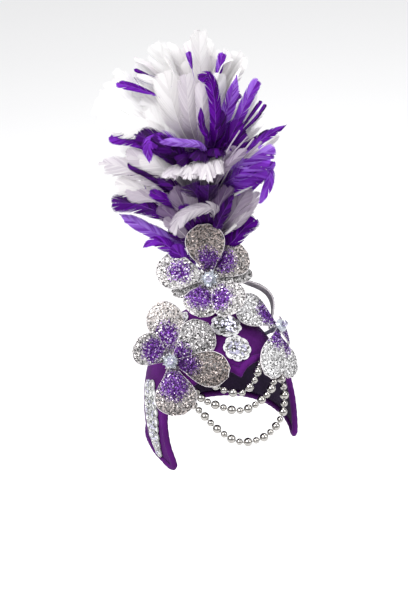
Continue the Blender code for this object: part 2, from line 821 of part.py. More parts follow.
def main():
    clear_scene()
    make_cap()
    make_roll()
    make_stem()
    make_plume()
    make_plume_tip()
    make_flowers()
    for row in MOTIFS:
        make_motif(*row)
    make_side_lace("side_lace_right", -1)
    make_side_lace("side_lace_left", 1)
    for name, route in SWAGS.items():
        make_swag(name, route)


main()
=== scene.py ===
import math
import random

import bpy
import numpy as np
from mathutils import Matrix, Vector, geometry, noise


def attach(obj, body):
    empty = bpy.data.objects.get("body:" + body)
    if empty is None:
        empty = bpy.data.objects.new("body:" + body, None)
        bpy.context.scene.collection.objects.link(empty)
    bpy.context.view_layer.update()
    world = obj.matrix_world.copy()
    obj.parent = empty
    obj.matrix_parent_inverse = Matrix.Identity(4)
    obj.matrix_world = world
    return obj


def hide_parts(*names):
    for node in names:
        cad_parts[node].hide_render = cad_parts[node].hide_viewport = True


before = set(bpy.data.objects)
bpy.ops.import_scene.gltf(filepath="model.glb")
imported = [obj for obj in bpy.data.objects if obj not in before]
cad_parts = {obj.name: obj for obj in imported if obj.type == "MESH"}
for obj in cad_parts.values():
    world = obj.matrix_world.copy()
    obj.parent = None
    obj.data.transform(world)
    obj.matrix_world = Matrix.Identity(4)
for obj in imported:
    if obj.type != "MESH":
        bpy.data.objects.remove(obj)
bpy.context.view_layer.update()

# Camera: degrees round and up from the front, degrees of tilt, metres, and the focal length in pixels
CAMERA_ROUND = -22.0
CAMERA_UP = 27.0
CAMERA_TILT = -4.2
CAMERA_DISTANCE = 1.40
CAMERA_SIDE = -0.008
CAMERA_RAISE = 0.008
FOCAL_PIXELS = 1356.0
SENSOR_SIZE = 36.0
IMAGE_WIDTH = 408
IMAGE_HEIGHT = 612

# How many straight steps a smooth curve takes between two of its points
CURVE_STEPS = 24

# Studio
LIGHTS = (
    # name, degrees round, degrees up, metres away, metres across, watts
    ("key", -66, 46, 1.9, 1.0, 31.0),
    ("fill", 46, 28, 2.1, 1.2, 15.0),
    ("top", 140, 66, 1.9, 1.0, 18.0),
)
LIT_HEIGHT = 0.05
SKY = (
    # share from the lowest to the highest way, colour
    (0.0, (0.30, 0.30, 0.31)), (0.46, (0.20, 0.20, 0.205)), (0.60, (0.20, 0.20, 0.205)),
    (0.76, (0.62, 0.62, 0.64)), (1.0, (1.0, 1.0, 1.0)),
)
SKY_STRENGTH = 1.05
FLOOR_HALF = 20
FLOOR_HEIGHT = -0.42
BLACK = (0.0, 0.0, 0.0)
WHITE = (1.0, 1.0, 1.0)

# Looks
PLAIN_LOOKS = {
    # key: name, colour, roughness, metallic, coat
    "stitch": ("violet thread", (0.07, 0.010, 0.14), 0.6, 0.0, 0.0),
    "under": ("petal underside", (0.46, 0.46, 0.45), 0.7, 0.1, 0.0),
    "rim": ("petal rim", (0.90, 0.84, 0.87), 0.35, 0.1, 0.0),
    "ice": ("ice cluster", (0.60, 0.64, 0.71), 0.24, 0.25, 0.4),
    "crystal": ("crystal", (0.70, 0.68, 0.86), 0.08, 0.80, 0.0),
    "lace": ("lace cord", (0.60, 0.61, 0.60), 0.5, 0.25, 0.0),
    "pearl": ("white lace edge", (0.92, 0.92, 0.93), 0.22, 0.0, 0.6),
    "bead": ("chrome bead", (0.52, 0.50, 0.475), 0.10, 1.0, 0.0),
    "thread": ("bead thread", (0.62, 0.62, 0.62), 0.5, 0.0, 0.0),
}
FEATHER_LOOKS = {
    # key: colours by tone, colours by share of the length (painted shade, darker towards the root), quill, drift,
    # streak, gloss, shine, sheen
    "violet": (
        # Violet tones run from dark plum to light violet: partly the feathers' own colours, with the darkest tones
        # as painted shade deep in the plume
        (
            (0.0, (0.030, 0.0, 0.072)), (0.35, (0.115, 0.0, 0.310)),
            (0.65, (0.225, 0.030, 0.560)), (1.0, (0.46, 0.27, 0.80)),
        ),
        # Painted shade towards the root, deep in the plume; partly the violet feathers' own darker plum roots
        ((0.0, (0.42, 0.30, 0.40)), (0.55, (0.95, 0.92, 0.95)), (0.75, WHITE)),
        (0.30, 0.14, 0.50), 0.26, 0.30, 0.05, 0.14, (0.70, 0.45, 0.95),
    ),
    "white": (
        # Painted shade: the lower tones of a white feather are greys and lilacs that stand in for shade
        (
            (0.0, (0.17, 0.10, 0.22)), (0.3, (0.52, 0.45, 0.54)),
            (0.6, (0.84, 0.82, 0.82)), (1.0, (0.94, 0.94, 0.935)),
        ),
        # Painted shade: the white barbs turn grey and lilac towards the root, where the plume shades them
        ((0.0, (0.30, 0.22, 0.38)), (0.40, (0.62, 0.54, 0.68)), (0.66, (0.96, 0.95, 0.96)), (0.8, WHITE)),
        (0.86, 0.83, 0.84), 0.11, 0.09, 0.22, 0.20, WHITE,
    ),
}
SEEN_THROUGH = 0.30

# Cap and roll, in the solids' sizes
HALF_WIDTH = 0.078
HALF_LENGTH = 0.100
HALF_HEIGHT = 0.125
WALL = 0.002
PEAK_TURN = -4.0
ROLL_WIDTH = 0.0075
ROLL_THICKNESS = 0.0065
SHELL_INSET = 0.0079
OUTLINE = (
    # round, down
    (0, 48.0), (5, 45.8), (10, 44.2), (20, 43.3), (31, 44.5), (42, 50.0), (52, 57.0), (62, 63.5),
    (69, 69.5), (71, 76.0), (70, 83.0), (68, 90.0), (65, 96.0), (64, 100.0), (67, 103.2), (72, 103.8),
    (79, 102.6), (92, 101.8), (112, 102.0), (135, 103.5), (158, 105.5), (180, 106.5),
)
SHELL_TUCK = 0.0012
SHELL_EDGE_COUNT = 220
SHELL_RINGS = 51
SHELL_RING_STEP = 2.1
SHELL_LOW_RING = 36
SHELL_LOW_COUNT = 190
SHELL_MARGIN = 1.1
ROLL_RINGS = 460
ROLL_SIDES = 20
ROLL_PUCKERS = 92
STITCH_EVERY = 3
STITCH_HALF = 0.0013
STITCH_RADIUS = 0.00028
STITCH_SIDES = 5
BAR_SHAPE = (
    # share of the radius, share of the length
    (0.55, 0.0), (1.0, 0.25), (1.0, 0.75), (0.55, 1.0),
)

# Stem, in the solids' sizes, with its ribbon
STEM_X = 0.0
STEM_Y = -0.004
STEM_RADIUS = 0.0055
FOOT_RADIUS = 0.0085
STEM_BOTTOM = 0.0028
STEM_TOP = 0.186
STEM_RINGS = 151
STEM_SIDES = 28
FOOT_LOW = 0.006
FOOT_RISE = 0.024
RIBBON_PITCH = 0.011
RIBBON_LAP = 0.00035

# Plume
COLLAR_RADIUS = 0.0088
ROOT_RADIUS = COLLAR_RADIUS * 0.75
PLUME_LEFT = -112.0
PLUME_FRONT = -20.0
TIERS = {
    # name: colour, root height, rise, spread, reach left, reach right, front steepness
    "plume_tier_1": ("violet", 0.055, 0.076, 0.045, 0.084, 0.054, 0.75),
    "plume_tier_2": ("white", 0.072, 0.086, 0.042, 0.092, 0.058, 0.62),
    "plume_tier_3": ("violet", 0.088, 0.095, 0.040, 0.084, 0.074, 0.45),
    "plume_tier_4": ("white", 0.103, 0.100, 0.038, 0.096, 0.078, 0.30),
    "plume_tier_5": ("violet", 0.117, 0.105, 0.034, 0.088, 0.082, 0.15),
    "plume_tier_6": ("white", 0.131, 0.108, 0.030, 0.102, 0.066, 0.0),
    "plume_tier_7": ("violet", 0.145, 0.115, 0.025, 0.078, 0.062, 0.0),
    "plume_tier_8": ("white", 0.159, 0.118, 0.017, 0.074, 0.050, 0.0),
    "plume_tier_9": ("white", 0.173, 0.120, 0.010, 0.038, 0.036, 0.0),
    "plume_tip": ("white", 0.180, 0.120, 0.010, 0.020, 0.020, 0.0),
}

# Feathers placed by where they show: the way of each quill is in pixels, with metres towards the camera.
# PLACED_FRAY multiplies the fray of all of them
FEATHERS = {
    # tier: half width, bluntness, bare share, tone and painted shade, facing, fray, way
    "plume_tip": (
        (0.0092, 2.4, 0.20, 0.75, 0.9, 0.5, (201, 92, -0.004, 199, 29, -0.006)),
        (0.0085, 2.2, 0.20, 0.60, 0.9, 0.5, (194, 98, -0.010, 188, 58, -0.012)),
        (0.0080, 2.2, 0.20, 0.60, 0.9, 0.5, (208, 95, -0.012, 212, 56, -0.014)),
    ),
    "plume_tier_9": (
        (0.0125, 2.6, 0.20, 1.00, 0.9, 0.5, (182, 92, -0.012, 154, 44, -0.014)),
        (0.0115, 2.6, 0.20, 0.90, 0.9, 0.5, (188, 95, -0.018, 173, 54, -0.020)),
        (0.0105, 2.4, 0.20, 1.00, 0.9, 0.5, (170, 98, -0.014, 135, 62, -0.016)),
        (0.0088, 2.2, 0.20, 0.85, 0.9, 0.5, (220, 96, -0.012, 239, 51, -0.014)),
        (0.0055, 2.0, 0.20, 0.80, 0.9, 0.5, (215, 96, -0.006, 228, 56, -0.006)),
    ),
    "plume_tier_8": (
        (0.0145, 2.4, 0.25, 0.64, 0.95, 0.5, (181, 128, 0.028, 164, 73, 0.024)),
        (0.0088, 2.6, 0.25, 0.46, 0.95, 0.5, (190, 122, 0.036, 186, 74, 0.030)),
        (0.0072, 2.4, 0.25, 0.42, 0.95, 0.5, (203, 124, 0.040, 202, 82, 0.036)),
        (0.0070, 2.4, 0.25, 0.95, 0.9, 0.5, (236, 124, 0.006, 254, 90, 0.002)),
        (0.0085, 2.4, 0.20, 1.00, 0.9, 0.5, (214, 112, 0.012, 219, 72, 0.010)),
    ),
    "plume_tier_7": (
        (0.0042, 2.6, 0.74, 0.45, 0.9, 0.6, (168, 106, 0.020, 142, 90, 0.014, 117, 83, 0.006)),
        (0.0020, 1.6, 0.90, 0.25, 0.9, 0.6, (176, 92, -0.004, 134, 69, -0.010)),
        (0.0028, 3.0, 0.88, 0.60, 0.9, 0.6, (195, 88, 0.004, 188, 51, 0.002)),
        (0.0046, 3.2, 0.80, 0.62, 0.9, 0.6, (214, 96, 0.002, 223, 52, 0.001)),
        (0.0062, 2.2, 0.20, 0.30, 0.8, 0.6, (215, 128, 0.046, 214, 96, 0.043, 208, 77, 0.042, 198, 80, 0.046)),
        (0.0034, 1.2, 0.30, 0.20, 0.9, 0.6, (208, 140, 0.052, 202, 126, 0.052, 201, 107, 0.050)),
        (0.0068, 1.1, 0.20, 0.74, 0.95, 0.6, (222, 126, 0.026, 231, 98, 0.023, 237, 74, 0.020)),
        (0.0060, 3.0, 0.20, 0.68, 0.95, 0.6, (236, 124, 0.022, 248, 98, 0.018, 258, 80, 0.014)),
        (0.0021, 2.2, 0.66, 0.26, 0.9, 1.0, (240, 130, 0.014, 253, 112, 0.014, 261, 101, 0.010)),
        (0.0021, 2.2, 0.56, 0.20, 0.9, 1.0, (242, 132, 0.016, 257, 117, 0.016, 266, 104, 0.012)),
        (0.0075, 1.8, 0.15, 0.12, 0.9, 0.6, (216, 140, 0.044, 221, 108, 0.038)),
        (0.0080, 1.8, 0.15, 0.22, 0.9, 0.6, (226, 145, 0.036, 240, 118, 0.028)),
    ),
    "plume_tier_6": (
        (0.0118, 2.6, 0.25, 0.95, 0.95, 0.5, (155, 118, 0.006, 102, 90, -0.004)),
        (0.0125, 2.6, 0.25, 1.00, 0.95, 0.5, (152, 122, 0.014, 94, 104, 0.006)),
        (0.0120, 2.6, 0.25, 0.90, 0.95, 0.5, (154, 128, 0.024, 96, 117, 0.012)),
        (0.0110, 2.6, 0.25, 0.75, 0.95, 0.5, (158, 134, 0.034, 111, 126, 0.022)),
        (0.0105, 2.4, 0.20, 0.90, 0.9, 0.5, (160, 110, -0.008, 114, 74, -0.014)),
        (0.0120, 2.6, 0.20, 0.95, 0.9, 0.5, (164, 112, 0.000, 132, 90, -0.004)),
        (0.0110, 2.6, 0.20, 0.85, 0.9, 0.5, (166, 116, 0.010, 140, 100, 0.006)),
        (0.0085, 2.4, 0.30, 0.55, 0.9, 0.5, (240, 140, 0.012, 262, 112, -0.002)),
        (0.0080, 2.2, 0.30, 0.75, 0.9, 0.5, (236, 134, 0.008, 250, 96, -0.004)),
        (0.0100, 2.4, 0.30, 0.80, 0.9, 0.5, (172, 140, 0.030, 148, 108, 0.020)),
    ),
    "plume_tier_5": (
        (0.0046, 1.1, 0.30, 0.50, 0.9, 0.9, (246, 153, 0.026, 264, 138, 0.014, 286, 125, 0.004)),
        (0.0045, 2.0, 0.30, 0.05, 0.9, 0.6, (244, 150, 0.020, 272, 130, 0.004)),
        (0.0080, 2.2, 0.20, 0.78, 0.95, 1.1, (236, 168, 0.042, 256, 155, 0.036, 273, 150, 0.028)),
        (0.0088, 2.0, 0.20, 0.66, 0.95, 1.1, (236, 176, 0.044, 256, 163, 0.038, 273, 158, 0.030)),
        (0.0080, 2.0, 0.20, 0.56, 0.95, 1.1, (238, 182, 0.042, 256, 173, 0.036, 271, 170, 0.028)),
        (0.0066, 1.6, 0.20, 0.36, 0.95, 1.1, (236, 186, 0.040, 252, 180, 0.036, 264, 179, 0.030)),
        (0.0056, 2.4, 0.30, 0.40, 0.9, 0.6, (150, 148, 0.028, 108, 137, 0.010)),
        (0.0115, 2.6, 0.20, 0.02, 0.9, 0.6, (170, 152, 0.046, 136, 134, 0.036)),
        (0.0100, 2.6, 0.20, 0.00, 0.9, 0.6, (180, 156, 0.052, 156, 140, 0.048)),
        (0.0125, 1.2, 0.30, 0.60, 0.9, 0.6, (170, 148, 0.050, 154, 141, 0.055, 148, 148, 0.059, 150, 163, 0.060)),
        (0.0100, 1.8, 0.30, 0.02, 0.9, 0.8, (176, 154, 0.052, 160, 144, 0.056, 150, 139, 0.056)),
        (0.0040, 1.5, 0.52, 0.82, 0.9, 0.4, (204, 150, 0.056, 182, 143, 0.062, 160, 142, 0.066)),
        (0.0125, 2.6, 0.15, 0.00, 0.6, 0.6, (192, 158, 0.048, 176, 163, 0.062)),
        (0.0125, 2.6, 0.15, 0.00, 0.6, 0.6, (203, 152, 0.050, 196, 162, 0.066)),
        (0.0125, 2.6, 0.15, 0.03, 0.6, 0.6, (214, 150, 0.046, 214, 158, 0.060)),
        (0.0105, 2.4, 0.15, 0.08, 0.7, 0.6, (224, 152, 0.040, 230, 146, 0.048)),
        (0.0100, 2.2, 0.15, 0.15, 0.8, 0.6, (230, 150, 0.034, 246, 132, 0.030)),
    ),
    "plume_tier_4": (
        (0.0105, 1.8, 0.25, 0.46, 0.9, 0.8, (166, 186, 0.024, 134, 170, 0.014, 100, 162, 0.004)),
        (0.0090, 2.4, 0.25, 0.42, 0.9, 0.5, (162, 172, 0.034, 125, 152, 0.022)),
        (0.0085, 2.4, 0.25, 0.55, 0.9, 0.5, (168, 172, 0.042, 138, 158, 0.034)),
        (0.0026, 2.4, 0.30, 0.36, 0.9, 0.5, (234, 170, 0.040, 258, 147, 0.036)),
        (0.0012, 1.6, 0.30, 0.22, 0.9, 0.5, (236, 168, 0.040, 262, 141, 0.034)),
        (0.0040, 1.6, 0.20, 0.12, 0.9, 0.5, (216, 168, 0.046, 236, 146, 0.044)),
        (0.0009, 1.6, 0.30, 0.30, 0.9, 0.5, (230, 168, 0.046, 246, 148, 0.042, 254, 138, 0.036)),
        (0.0008, 1.6, 0.30, 0.22, 0.9, 0.5, (226, 164, 0.048, 248, 136, 0.038)),
        (0.0007, 1.6, 0.30, 0.30, 0.9, 0.5, (224, 158, 0.050, 240, 130, 0.042)),
        (0.0044, 1.8, 0.30, 0.16, 0.9, 0.5, (220, 174, 0.052, 246, 149, 0.046)),
        (0.0085, 3.6, 0.15, 0.42, 0.5, 0.8, (190, 180, 0.036, 178, 167, 0.056, 167, 178, 0.074)),
        (0.0090, 3.6, 0.15, 0.46, 0.5, 0.8, (194, 180, 0.036, 185, 166, 0.056, 177, 178, 0.074)),
        (0.0095, 3.6, 0.15, 0.48, 0.5, 0.8, (199, 178, 0.038, 192, 164, 0.058, 187, 178, 0.077)),
        (0.0095, 3.6, 0.15, 0.46, 0.5, 0.8, (204, 178, 0.036, 200, 161, 0.058, 197, 178, 0.076)),
        (0.0100, 3.6, 0.15, 0.50, 0.5, 0.8, (208, 178, 0.036, 207, 160, 0.058, 206, 180, 0.078)),
        (0.0085, 3.6, 0.15, 0.46, 0.5, 0.8, (212, 178, 0.034, 215, 159, 0.054, 216, 177, 0.074)),
        (0.0024, 1.6, 0.60, 0.70, 0.9, 0.8, (236, 190, 0.036, 266, 169, 0.030)),
        (0.0026, 1.6, 0.60, 0.70, 0.9, 0.8, (232, 196, 0.036, 259, 180, 0.030)),
    ),
    "plume_tier_3": (
        (0.0048, 1.6, 0.30, 0.60, 0.9, 0.6, (248, 190, 0.022, 275, 161, 0.012)),
        (0.0054, 1.4, 0.30, 0.66, 0.9, 0.8, (238, 192, 0.030, 268, 170, 0.030, 268, 186, 0.032, 259, 204, 0.034)),
        (0.0046, 1.8, 0.25, 0.00, 0.9, 0.6, (158, 181, 0.032, 127, 163, 0.022)),
        (0.0055, 1.8, 0.25, 0.02, 0.9, 0.6, (178, 190, 0.042, 158, 178, 0.036)),
        (0.0100, 3.2, 0.25, 0.12, 0.9, 0.7, (162, 213, 0.036, 136, 204, 0.024, 112, 203, 0.014)),
        (0.0055, 2.0, 0.25, 0.25, 0.9, 0.6, (172, 203, 0.040, 149, 191, 0.034)),
        (0.0115, 2.6, 0.20, 0.02, 0.6, 0.6, (197, 196, 0.046, 187, 185, 0.070)),
        (0.0120, 2.6, 0.20, 0.04, 0.6, 0.6, (208, 196, 0.046, 209, 185, 0.072)),
        (0.0080, 2.4, 0.20, 0.10, 0.7, 0.6, (192, 214, 0.046, 178, 209, 0.056)),
    ),
    "plume_tier_2": (
        (0.0130, 2.2, 0.25, 0.60, 0.95, 0.7, (160, 208, 0.026, 136, 188, 0.018, 114, 184, 0.012)),
        (0.0085, 2.0, 0.25, 0.34, 0.95, 0.7, (170, 214, 0.034, 148, 198, 0.026, 124, 192, 0.018)),
        (0.0105, 2.2, 0.20, 0.08, 0.9, 0.7, (188, 214, 0.040, 173, 186, 0.044)),
        (0.0090, 2.0, 0.20, 0.16, 0.9, 0.7, (192, 212, 0.042, 186, 188, 0.044)),
        (0.0100, 2.6, 0.20, 0.00, 0.9, 0.5, (180, 222, 0.038, 160, 206, 0.038)),
        (0.0070, 2.2, 0.20, 0.42, 0.8, 1.2, (214, 210, 0.046, 194, 210, 0.056, 180, 219, 0.062, 174, 231, 0.064)),
        (0.0062, 1.6, 0.20, 0.22, 0.9, 0.7, (188, 238, 0.030, 176, 227, 0.040, 163, 219, 0.044)),
        (0.0105, 2.2, 0.20, 0.00, 0.9, 0.7, (216, 214, 0.038, 228, 186, 0.042)),
        (0.0130, 1.9, 0.20, 0.16, 0.9, 0.7, (230, 218, 0.032, 242, 198, 0.030, 252, 188, 0.027)),
        (0.0060, 1.9, 0.20, 0.34, 0.9, 0.7, (236, 224, 0.034, 250, 206, 0.030, 258, 192, 0.028)),
        (0.0018, 1.6, 0.40, 0.60, 0.9, 0.5, (228, 232, 0.034, 250, 210, 0.028)),
    ),
    "plume_tier_1": (
        (0.0066, 1.2, 0.20, 0.10, 0.9, 1.0, (218, 224, 0.038, 226, 208, 0.043, 235, 192, 0.044)),
        (0.0085, 3.0, 0.20, 0.22, 0.9, 0.6, (232, 242, 0.030, 244, 228, 0.026, 257, 219, 0.022)),
        (0.0090, 3.0, 0.20, 0.22, 0.9, 0.6, (226, 244, 0.026, 247, 218, 0.016)),
        (0.0070, 1.4, 0.25, 0.82, 0.9, 0.4, (166, 238, 0.026, 142, 226, 0.018, 120, 214, 0.010)),
        (0.0072, 1.3, 0.25, 0.46, 0.9, 0.7, (188, 260, 0.026, 168, 246, 0.034, 154, 241, 0.036, 143, 248, 0.036)),
        (0.0085, 1.8, 0.20, 0.50, 0.9, 0.4, (194, 268, 0.022, 183, 258, 0.030, 172, 245, 0.034)),
        (0.0080, 2.4, 0.20, 0.12, 0.9, 0.6, (190, 240, 0.030, 168, 228, 0.036)),
        (0.0080, 2.2, 0.20, 0.04, 0.9, 0.8, (203, 228, 0.026, 197, 213, 0.038)),
        (0.0080, 2.2, 0.20, 0.06, 0.9, 0.8, (208, 228, 0.026, 209, 211, 0.038)),
        (0.0050, 2.2, 0.20, 0.10, 0.9, 0.8, (214, 230, 0.026, 217, 213, 0.036)),
        (0.0060, 2.2, 0.20, 0.08, 0.9, 0.8, (196, 234, 0.026, 187, 220, 0.040)),
    ),
}
PLACED_FRAY = 1.35

# Feathers that fill the sides and the back, from FILL_TURN degrees off the camera's side
FILL_COUNT = 17
FILL_TURN = {"plume_tier_7": 104.0, "plume_tier_5": 112.0, "plume_tier_1": 92.0}
FILL_TURN_USUAL = 74.0
FILL_STOPS = (0.0, 0.08, 0.24, 0.48, 0.74, 1.0)
FILL_BARE = 0.16
FILL_TONES = (0.05, 0.2, 0.35, 0.6, 0.75)
FILL_FRAY = {"violet": 0.6, "white": 0.5}

# Barbs: stops are shares of a barb's length, and widths are shares of the gap to the next barb
BARB_GAP = 0.00085
BARB_GAP_RANGE = (0.0002, 0.0016)
BARB_STOPS = (0.0, 0.28, 0.58, 0.84, 1.0)
BARB_WIDTHS = (0.64, 0.64, 0.64, 0.60)
BARB_TIP_WIDTH = 0.60
BARB_TIP_LEAST = 0.12
BARB_ANGLES = (
    # share of the length, degrees off the quill
    (0.0, 52.0), (0.5, 36.0), (1.0, 22.0),
)
BARB_SLANT = 0.00007
FULL_FRAY_HALF = 0.009
VANE_CUP = 0.25
QUILL_RADIUS = 0.0006
QUILL_TIP_RADIUS = 0.00008
QUILL_END = 0.985
QUILL_SIDES = 5
QUILL_RINGS = 19

# Petals, in the solids' sizes
PETAL_OUTLINE = (
    # along, half width
    (0.0, 0.13), (0.22, 0.42), (0.48, 0.86), (0.70, 1.0), (0.90, 0.70), (1.0, 0.26),
)
PETAL_THICKNESS = 0.0013
PETAL_CUP = 0.13
NECK_RADIUS = 0.0030
GAP = 0.0003
FLOWERS = {
    # name: x, y, z, facing round, facing up
    "crown_flower": (-0.0164, -0.0390, 0.0590, -26.0, 26.0),
    "right_flower": (-0.0626, -0.0333, -0.0241, -26.0, 30.0),
    "left_flower": (0.0610, -0.0332, -0.0176, 34.0, 36.0),
}
PETALS = (
    # name, heading, pitch, length, width, bow, roll, seat,
    # patch along, patch across, patch size, warmth (a painted warm reflection), painted light level (how lit or
    # shaded the glitter is painted)
    ("crown_flower_petal_1", -154, 86, 0.058, 0.038, 0.004, 0, 0.0035, 0.34, 0.10, 0.24, 0.9, 0.52),
    ("crown_flower_petal_2", 74, 38, 0.046, 0.036, 0.004, 0, 0.0070, 0.48, -0.25, 0.28, 0.6, 0.7),
    ("crown_flower_petal_3", 16, -25, 0.046, 0.036, 0.004, 0, 0.0040, 0.50, 0.25, 0.28, 0.2, 0.85),
    ("crown_flower_petal_4", -56, -41, 0.040, 0.034, 0.004, 0, 0.0080, 0.50, 0.15, 0.34, 0.2, 0.8),
    ("crown_flower_petal_5", -112, 18, 0.054, 0.035, 0.004, 0, 0.0055, 0.56, 0.05, 0.24, 0.2, 1.0),
    ("crown_flower_leaf_1", 66, 4, 0.042, 0.016, 0.003, 0, 0.0105, -1.0, 0.0, 0.10, 0.1, 0.85),
    ("crown_flower_leaf_2", -106, -16, 0.040, 0.016, 0.003, 0, 0.0105, -1.0, 0.0, 0.10, 0.1, 0.85),
    ("right_flower_petal_1", 172, 70, 0.062, 0.037, 0.004, 0, 0.0106, 0.40, 0.0, 0.26, 0.5, 1.0),
    ("right_flower_petal_2", 76, 38, 0.054, 0.039, 0.004, 0, 0.0075, 0.18, 0.0, 0.24, 0.1, 0.72),
    ("right_flower_petal_3", 41, -1, 0.064, 0.035, 0.004, 0, 0.0035, 0.24, 0.0, 0.27, 0.9, 0.28),
    ("right_flower_petal_4", -16, -51, 0.055, 0.042, 0.005, 0, 0.0053, 0.42, 0.0, 0.31, 0.55, 0.60),
    ("right_flower_petal_5", -105, 38, 0.043, 0.034, 0.004, 0, 0.0050, 0.50, 0.12, 0.32, 0.2, 0.8),
    ("left_flower_petal_1", -115, 37, 0.052, 0.041, 0.004, 0, 0.0026, 0.26, 0.35, 0.30, 0.0, 1.0),
    ("left_flower_petal_2", -37, -21, 0.066, 0.032, 0.004, 0, 0.0020, 0.22, 0.15, 0.24, 0.0, 1.0),
    ("left_flower_petal_3", -2, -46, 0.054, 0.031, 0.004, 0, 0.0085, 0.30, 0.0, 0.26, 0.0, 1.0),
    ("left_flower_petal_4", 140, -35, 0.042, 0.032, 0.004, 0, 0.0045, 0.50, 0.0, 0.40, 0.0, 0.8),
    ("left_flower_petal_5", -157, 50, 0.062, 0.028, 0.019, 50, 0.0134, 0.50, 0.0, 0.30, 0.0, 0.6),
)
PETAL_ROWS = 31
PETAL_COLUMNS = 15
PETAL_SHEET = PETAL_THICKNESS / 2 * 0.75
RIM_RADIUS = 0.00052
RIM_HEIGHT = 1.1
RIM_SIDES = 6
PATCH_FADE = 0.20
FLAKE_SIZE = 0.00068
FLAKE_SIDES = 5
FLAKE_TILT = 0.30
FLAKES_PER_SQUARE_METRE = 1.48e6

# Flower centres: a stalk and neck, rings of shards, sequins and a domed crystal
STALK_RADIUS = 0.0021
STALK_SEAT = 0.0006
STALK_LEAST = 0.014
STALK_MOST = 0.08
STALK_STEP = 0.0002
NECK_SIDES = 16
NECK = (
    # radius, height, turn in sides
    (0.0021, -0.0155, 0.0), (0.0028, -0.0135, 0.0), (0.0029, -0.0008, 0.0), (0.0056, 0.0004, 0.0),
    (0.0070, 0.0020, 0.0), (0.0052, 0.0044, 0.0), (0.0020, 0.0052, 0.0),
)
TUFT_SIZES = {"crown_flower": 1.12, "right_flower": 1.0, "left_flower": 0.48}
SHARDS = (
    # count, degrees off the flower's facing, length, reach
    (16, 74, 0.0034, 0.0070), (15, 58, 0.0032, 0.0068), (12, 40, 0.0028, 0.0060), (8, 22, 0.0022, 0.0052),
)
TUFT_SEQUINS = 70
CRYSTAL_FACETS = 9
CRYSTAL = (
    # radius, height, turn in facets
    (0.0032, 0.0062, 0.0), (0.0036, 0.0072, 0.5), (0.0031, 0.0090, 0.0), (0.0017, 0.0101, 0.5),
)

# Lace, with its heights over the cap's cloth
LACE_THICKNESS = 0.0012
LACE_LIFT = 0.0006
LACE_MIDDLE = LACE_LIFT + LACE_THICKNESS * 0.5
LACE_TOP = LACE_LIFT + LACE_THICKNESS
CORD_SIDES = 6
TRIM_SIDES = 8
BOSS_SIDES = 14
SEQUIN_TILT = 0.16

# Motifs, in the solids' sizes
MOTIFS = (
    # name, round, down, radius, lobes
    ("lace_motif_upper", 7.0, 16.5, 0.0155, 9),
    ("lace_motif_lower", 3.0, 32.6, 0.0140, 8),
    ("lace_motif_side", -112.0, 27.0, 0.0150, 8),
)
MOTIF_RINGS = 8
MOTIF_POINTS_PER_LOBE = 12
MOTIF_CORD_RADIUS = 0.00075
MOTIF_SEQUINS = 170
MOTIF_STONES = 30

# Side lace, a little wider than the solids and nearer the front at its upper end
SIDE_LACE = (
    # round, down, half width
    (99, 64.0, 0.012), (95, 69.5, 0.0155), (91.5, 75.0, 0.0175), (89, 81.0, 0.0165), (87, 86.8, 0.0145),
    (85, 91.6, 0.0120), (83, 95.8, 0.0085), (81, 99.2, 0.0050),
)
LACE_SCALLOPS = 9
LACE_ROWS = 120
LACE_COLUMNS = 13
LACE_CORD_RADIUS = 0.0005
LACE_SEQUINS = 420
LACE_STONES = 36

# Bead strings, on the solids' ways, with beads a little larger. The bore is in degrees off the thread's way
BEAD_LARGE = 0.0045
BEAD_SMALL = 0.0035
BEAD_THREAD = 0.0006
BEAD_GAP = 0.0002
BEAD_LEAD = 0.0020
BEAD_BORE = 12
BEAD_RINGS = 13
BEAD_SIDES = 18
BEAD_FULLNESS = 0.99
SWAG_STEPS = 400
SEWING_STEPS = 360
SEWING_DOWN = 75
SWAGS = {
    "bead_swag_upper": (
        (-39, 50.3, 0.0), (-28, 51.6, 0.0020), (-17, 54.6, 0.0030), (-7, 55.6, 0.0030), (4, 52.6, 0.0030),
        (12, 48.8, 0.0030), (19, 46.6, 0.0020), (24, 46.0, 0.0),
    ),
    "bead_swag_middle": (
        (-50, 58.6, 0.0), (-42, 58.0, 0.0008), (-32, 60.3, 0.0030), (-14, 63.6, 0.0030), (0, 62.9, 0.0030),
        (18, 59.5, 0.0030), (28, 56.2, 0.0030), (34, 53.8, 0.0020), (40, 52.7, 0.0),
    ),
    "bead_swag_lower": (
        (-56, 62.2, 0.0), (-49, 62.2, 0.0005), (-41, 65.2, 0.0030), (-30, 72.1, 0.0030), (-16, 78.3, 0.0030),
        (0, 79.2, 0.0030), (13, 77.0, 0.0030), (24, 73.2, 0.0030), (32, 67.3, 0.0030), (38.5, 61.0, 0.0020),
        (44, 57.0, 0.0),
    ),
}


def heading(around, up):
    a = math.radians(around)
    e = math.radians(up)
    return Vector((math.sin(a) * math.cos(e), -math.cos(a) * math.cos(e), math.sin(e)))


def dome(around, down, lift=0.0):
    a = math.radians(around)
    p = math.radians(down)
    return Vector((
        (HALF_WIDTH + lift) * math.sin(p) * math.sin(a),
        -(HALF_LENGTH + lift) * math.sin(p) * math.cos(a),
        (HALF_HEIGHT + lift) * math.cos(p) + WALL - HALF_HEIGHT,
    ))


def dome_angles(point):
    x = point.x / HALF_WIDTH
    y = -point.y / HALF_LENGTH
    z = (point.z - WALL + HALF_HEIGHT) / HALF_HEIGHT
    return math.degrees(math.atan2(x, y)), math.degrees(math.atan2(math.hypot(x, y), z))


def dome_normal(around, down):
    a = math.radians(around)
    p = math.radians(down)
    return Vector((
        math.sin(p) * math.sin(a) / HALF_WIDTH,
        -math.sin(p) * math.cos(a) / HALF_LENGTH,
        math.cos(p) / HALF_HEIGHT,
    )).normalized()


def normal_at(point):
    return dome_normal(*dome_angles(point))


def over_cap(point, lift):
    """The place over the cap's cloth at a height, out from a point near it."""
    return dome(*dome_angles(point), lift)


def travelled_along(points):
    """How far along a line each of its points lies."""
    travelled = [0.0]
    for a, b in zip(points, points[1:]):
        travelled.append(travelled[-1] + (b - a).length)
    return travelled


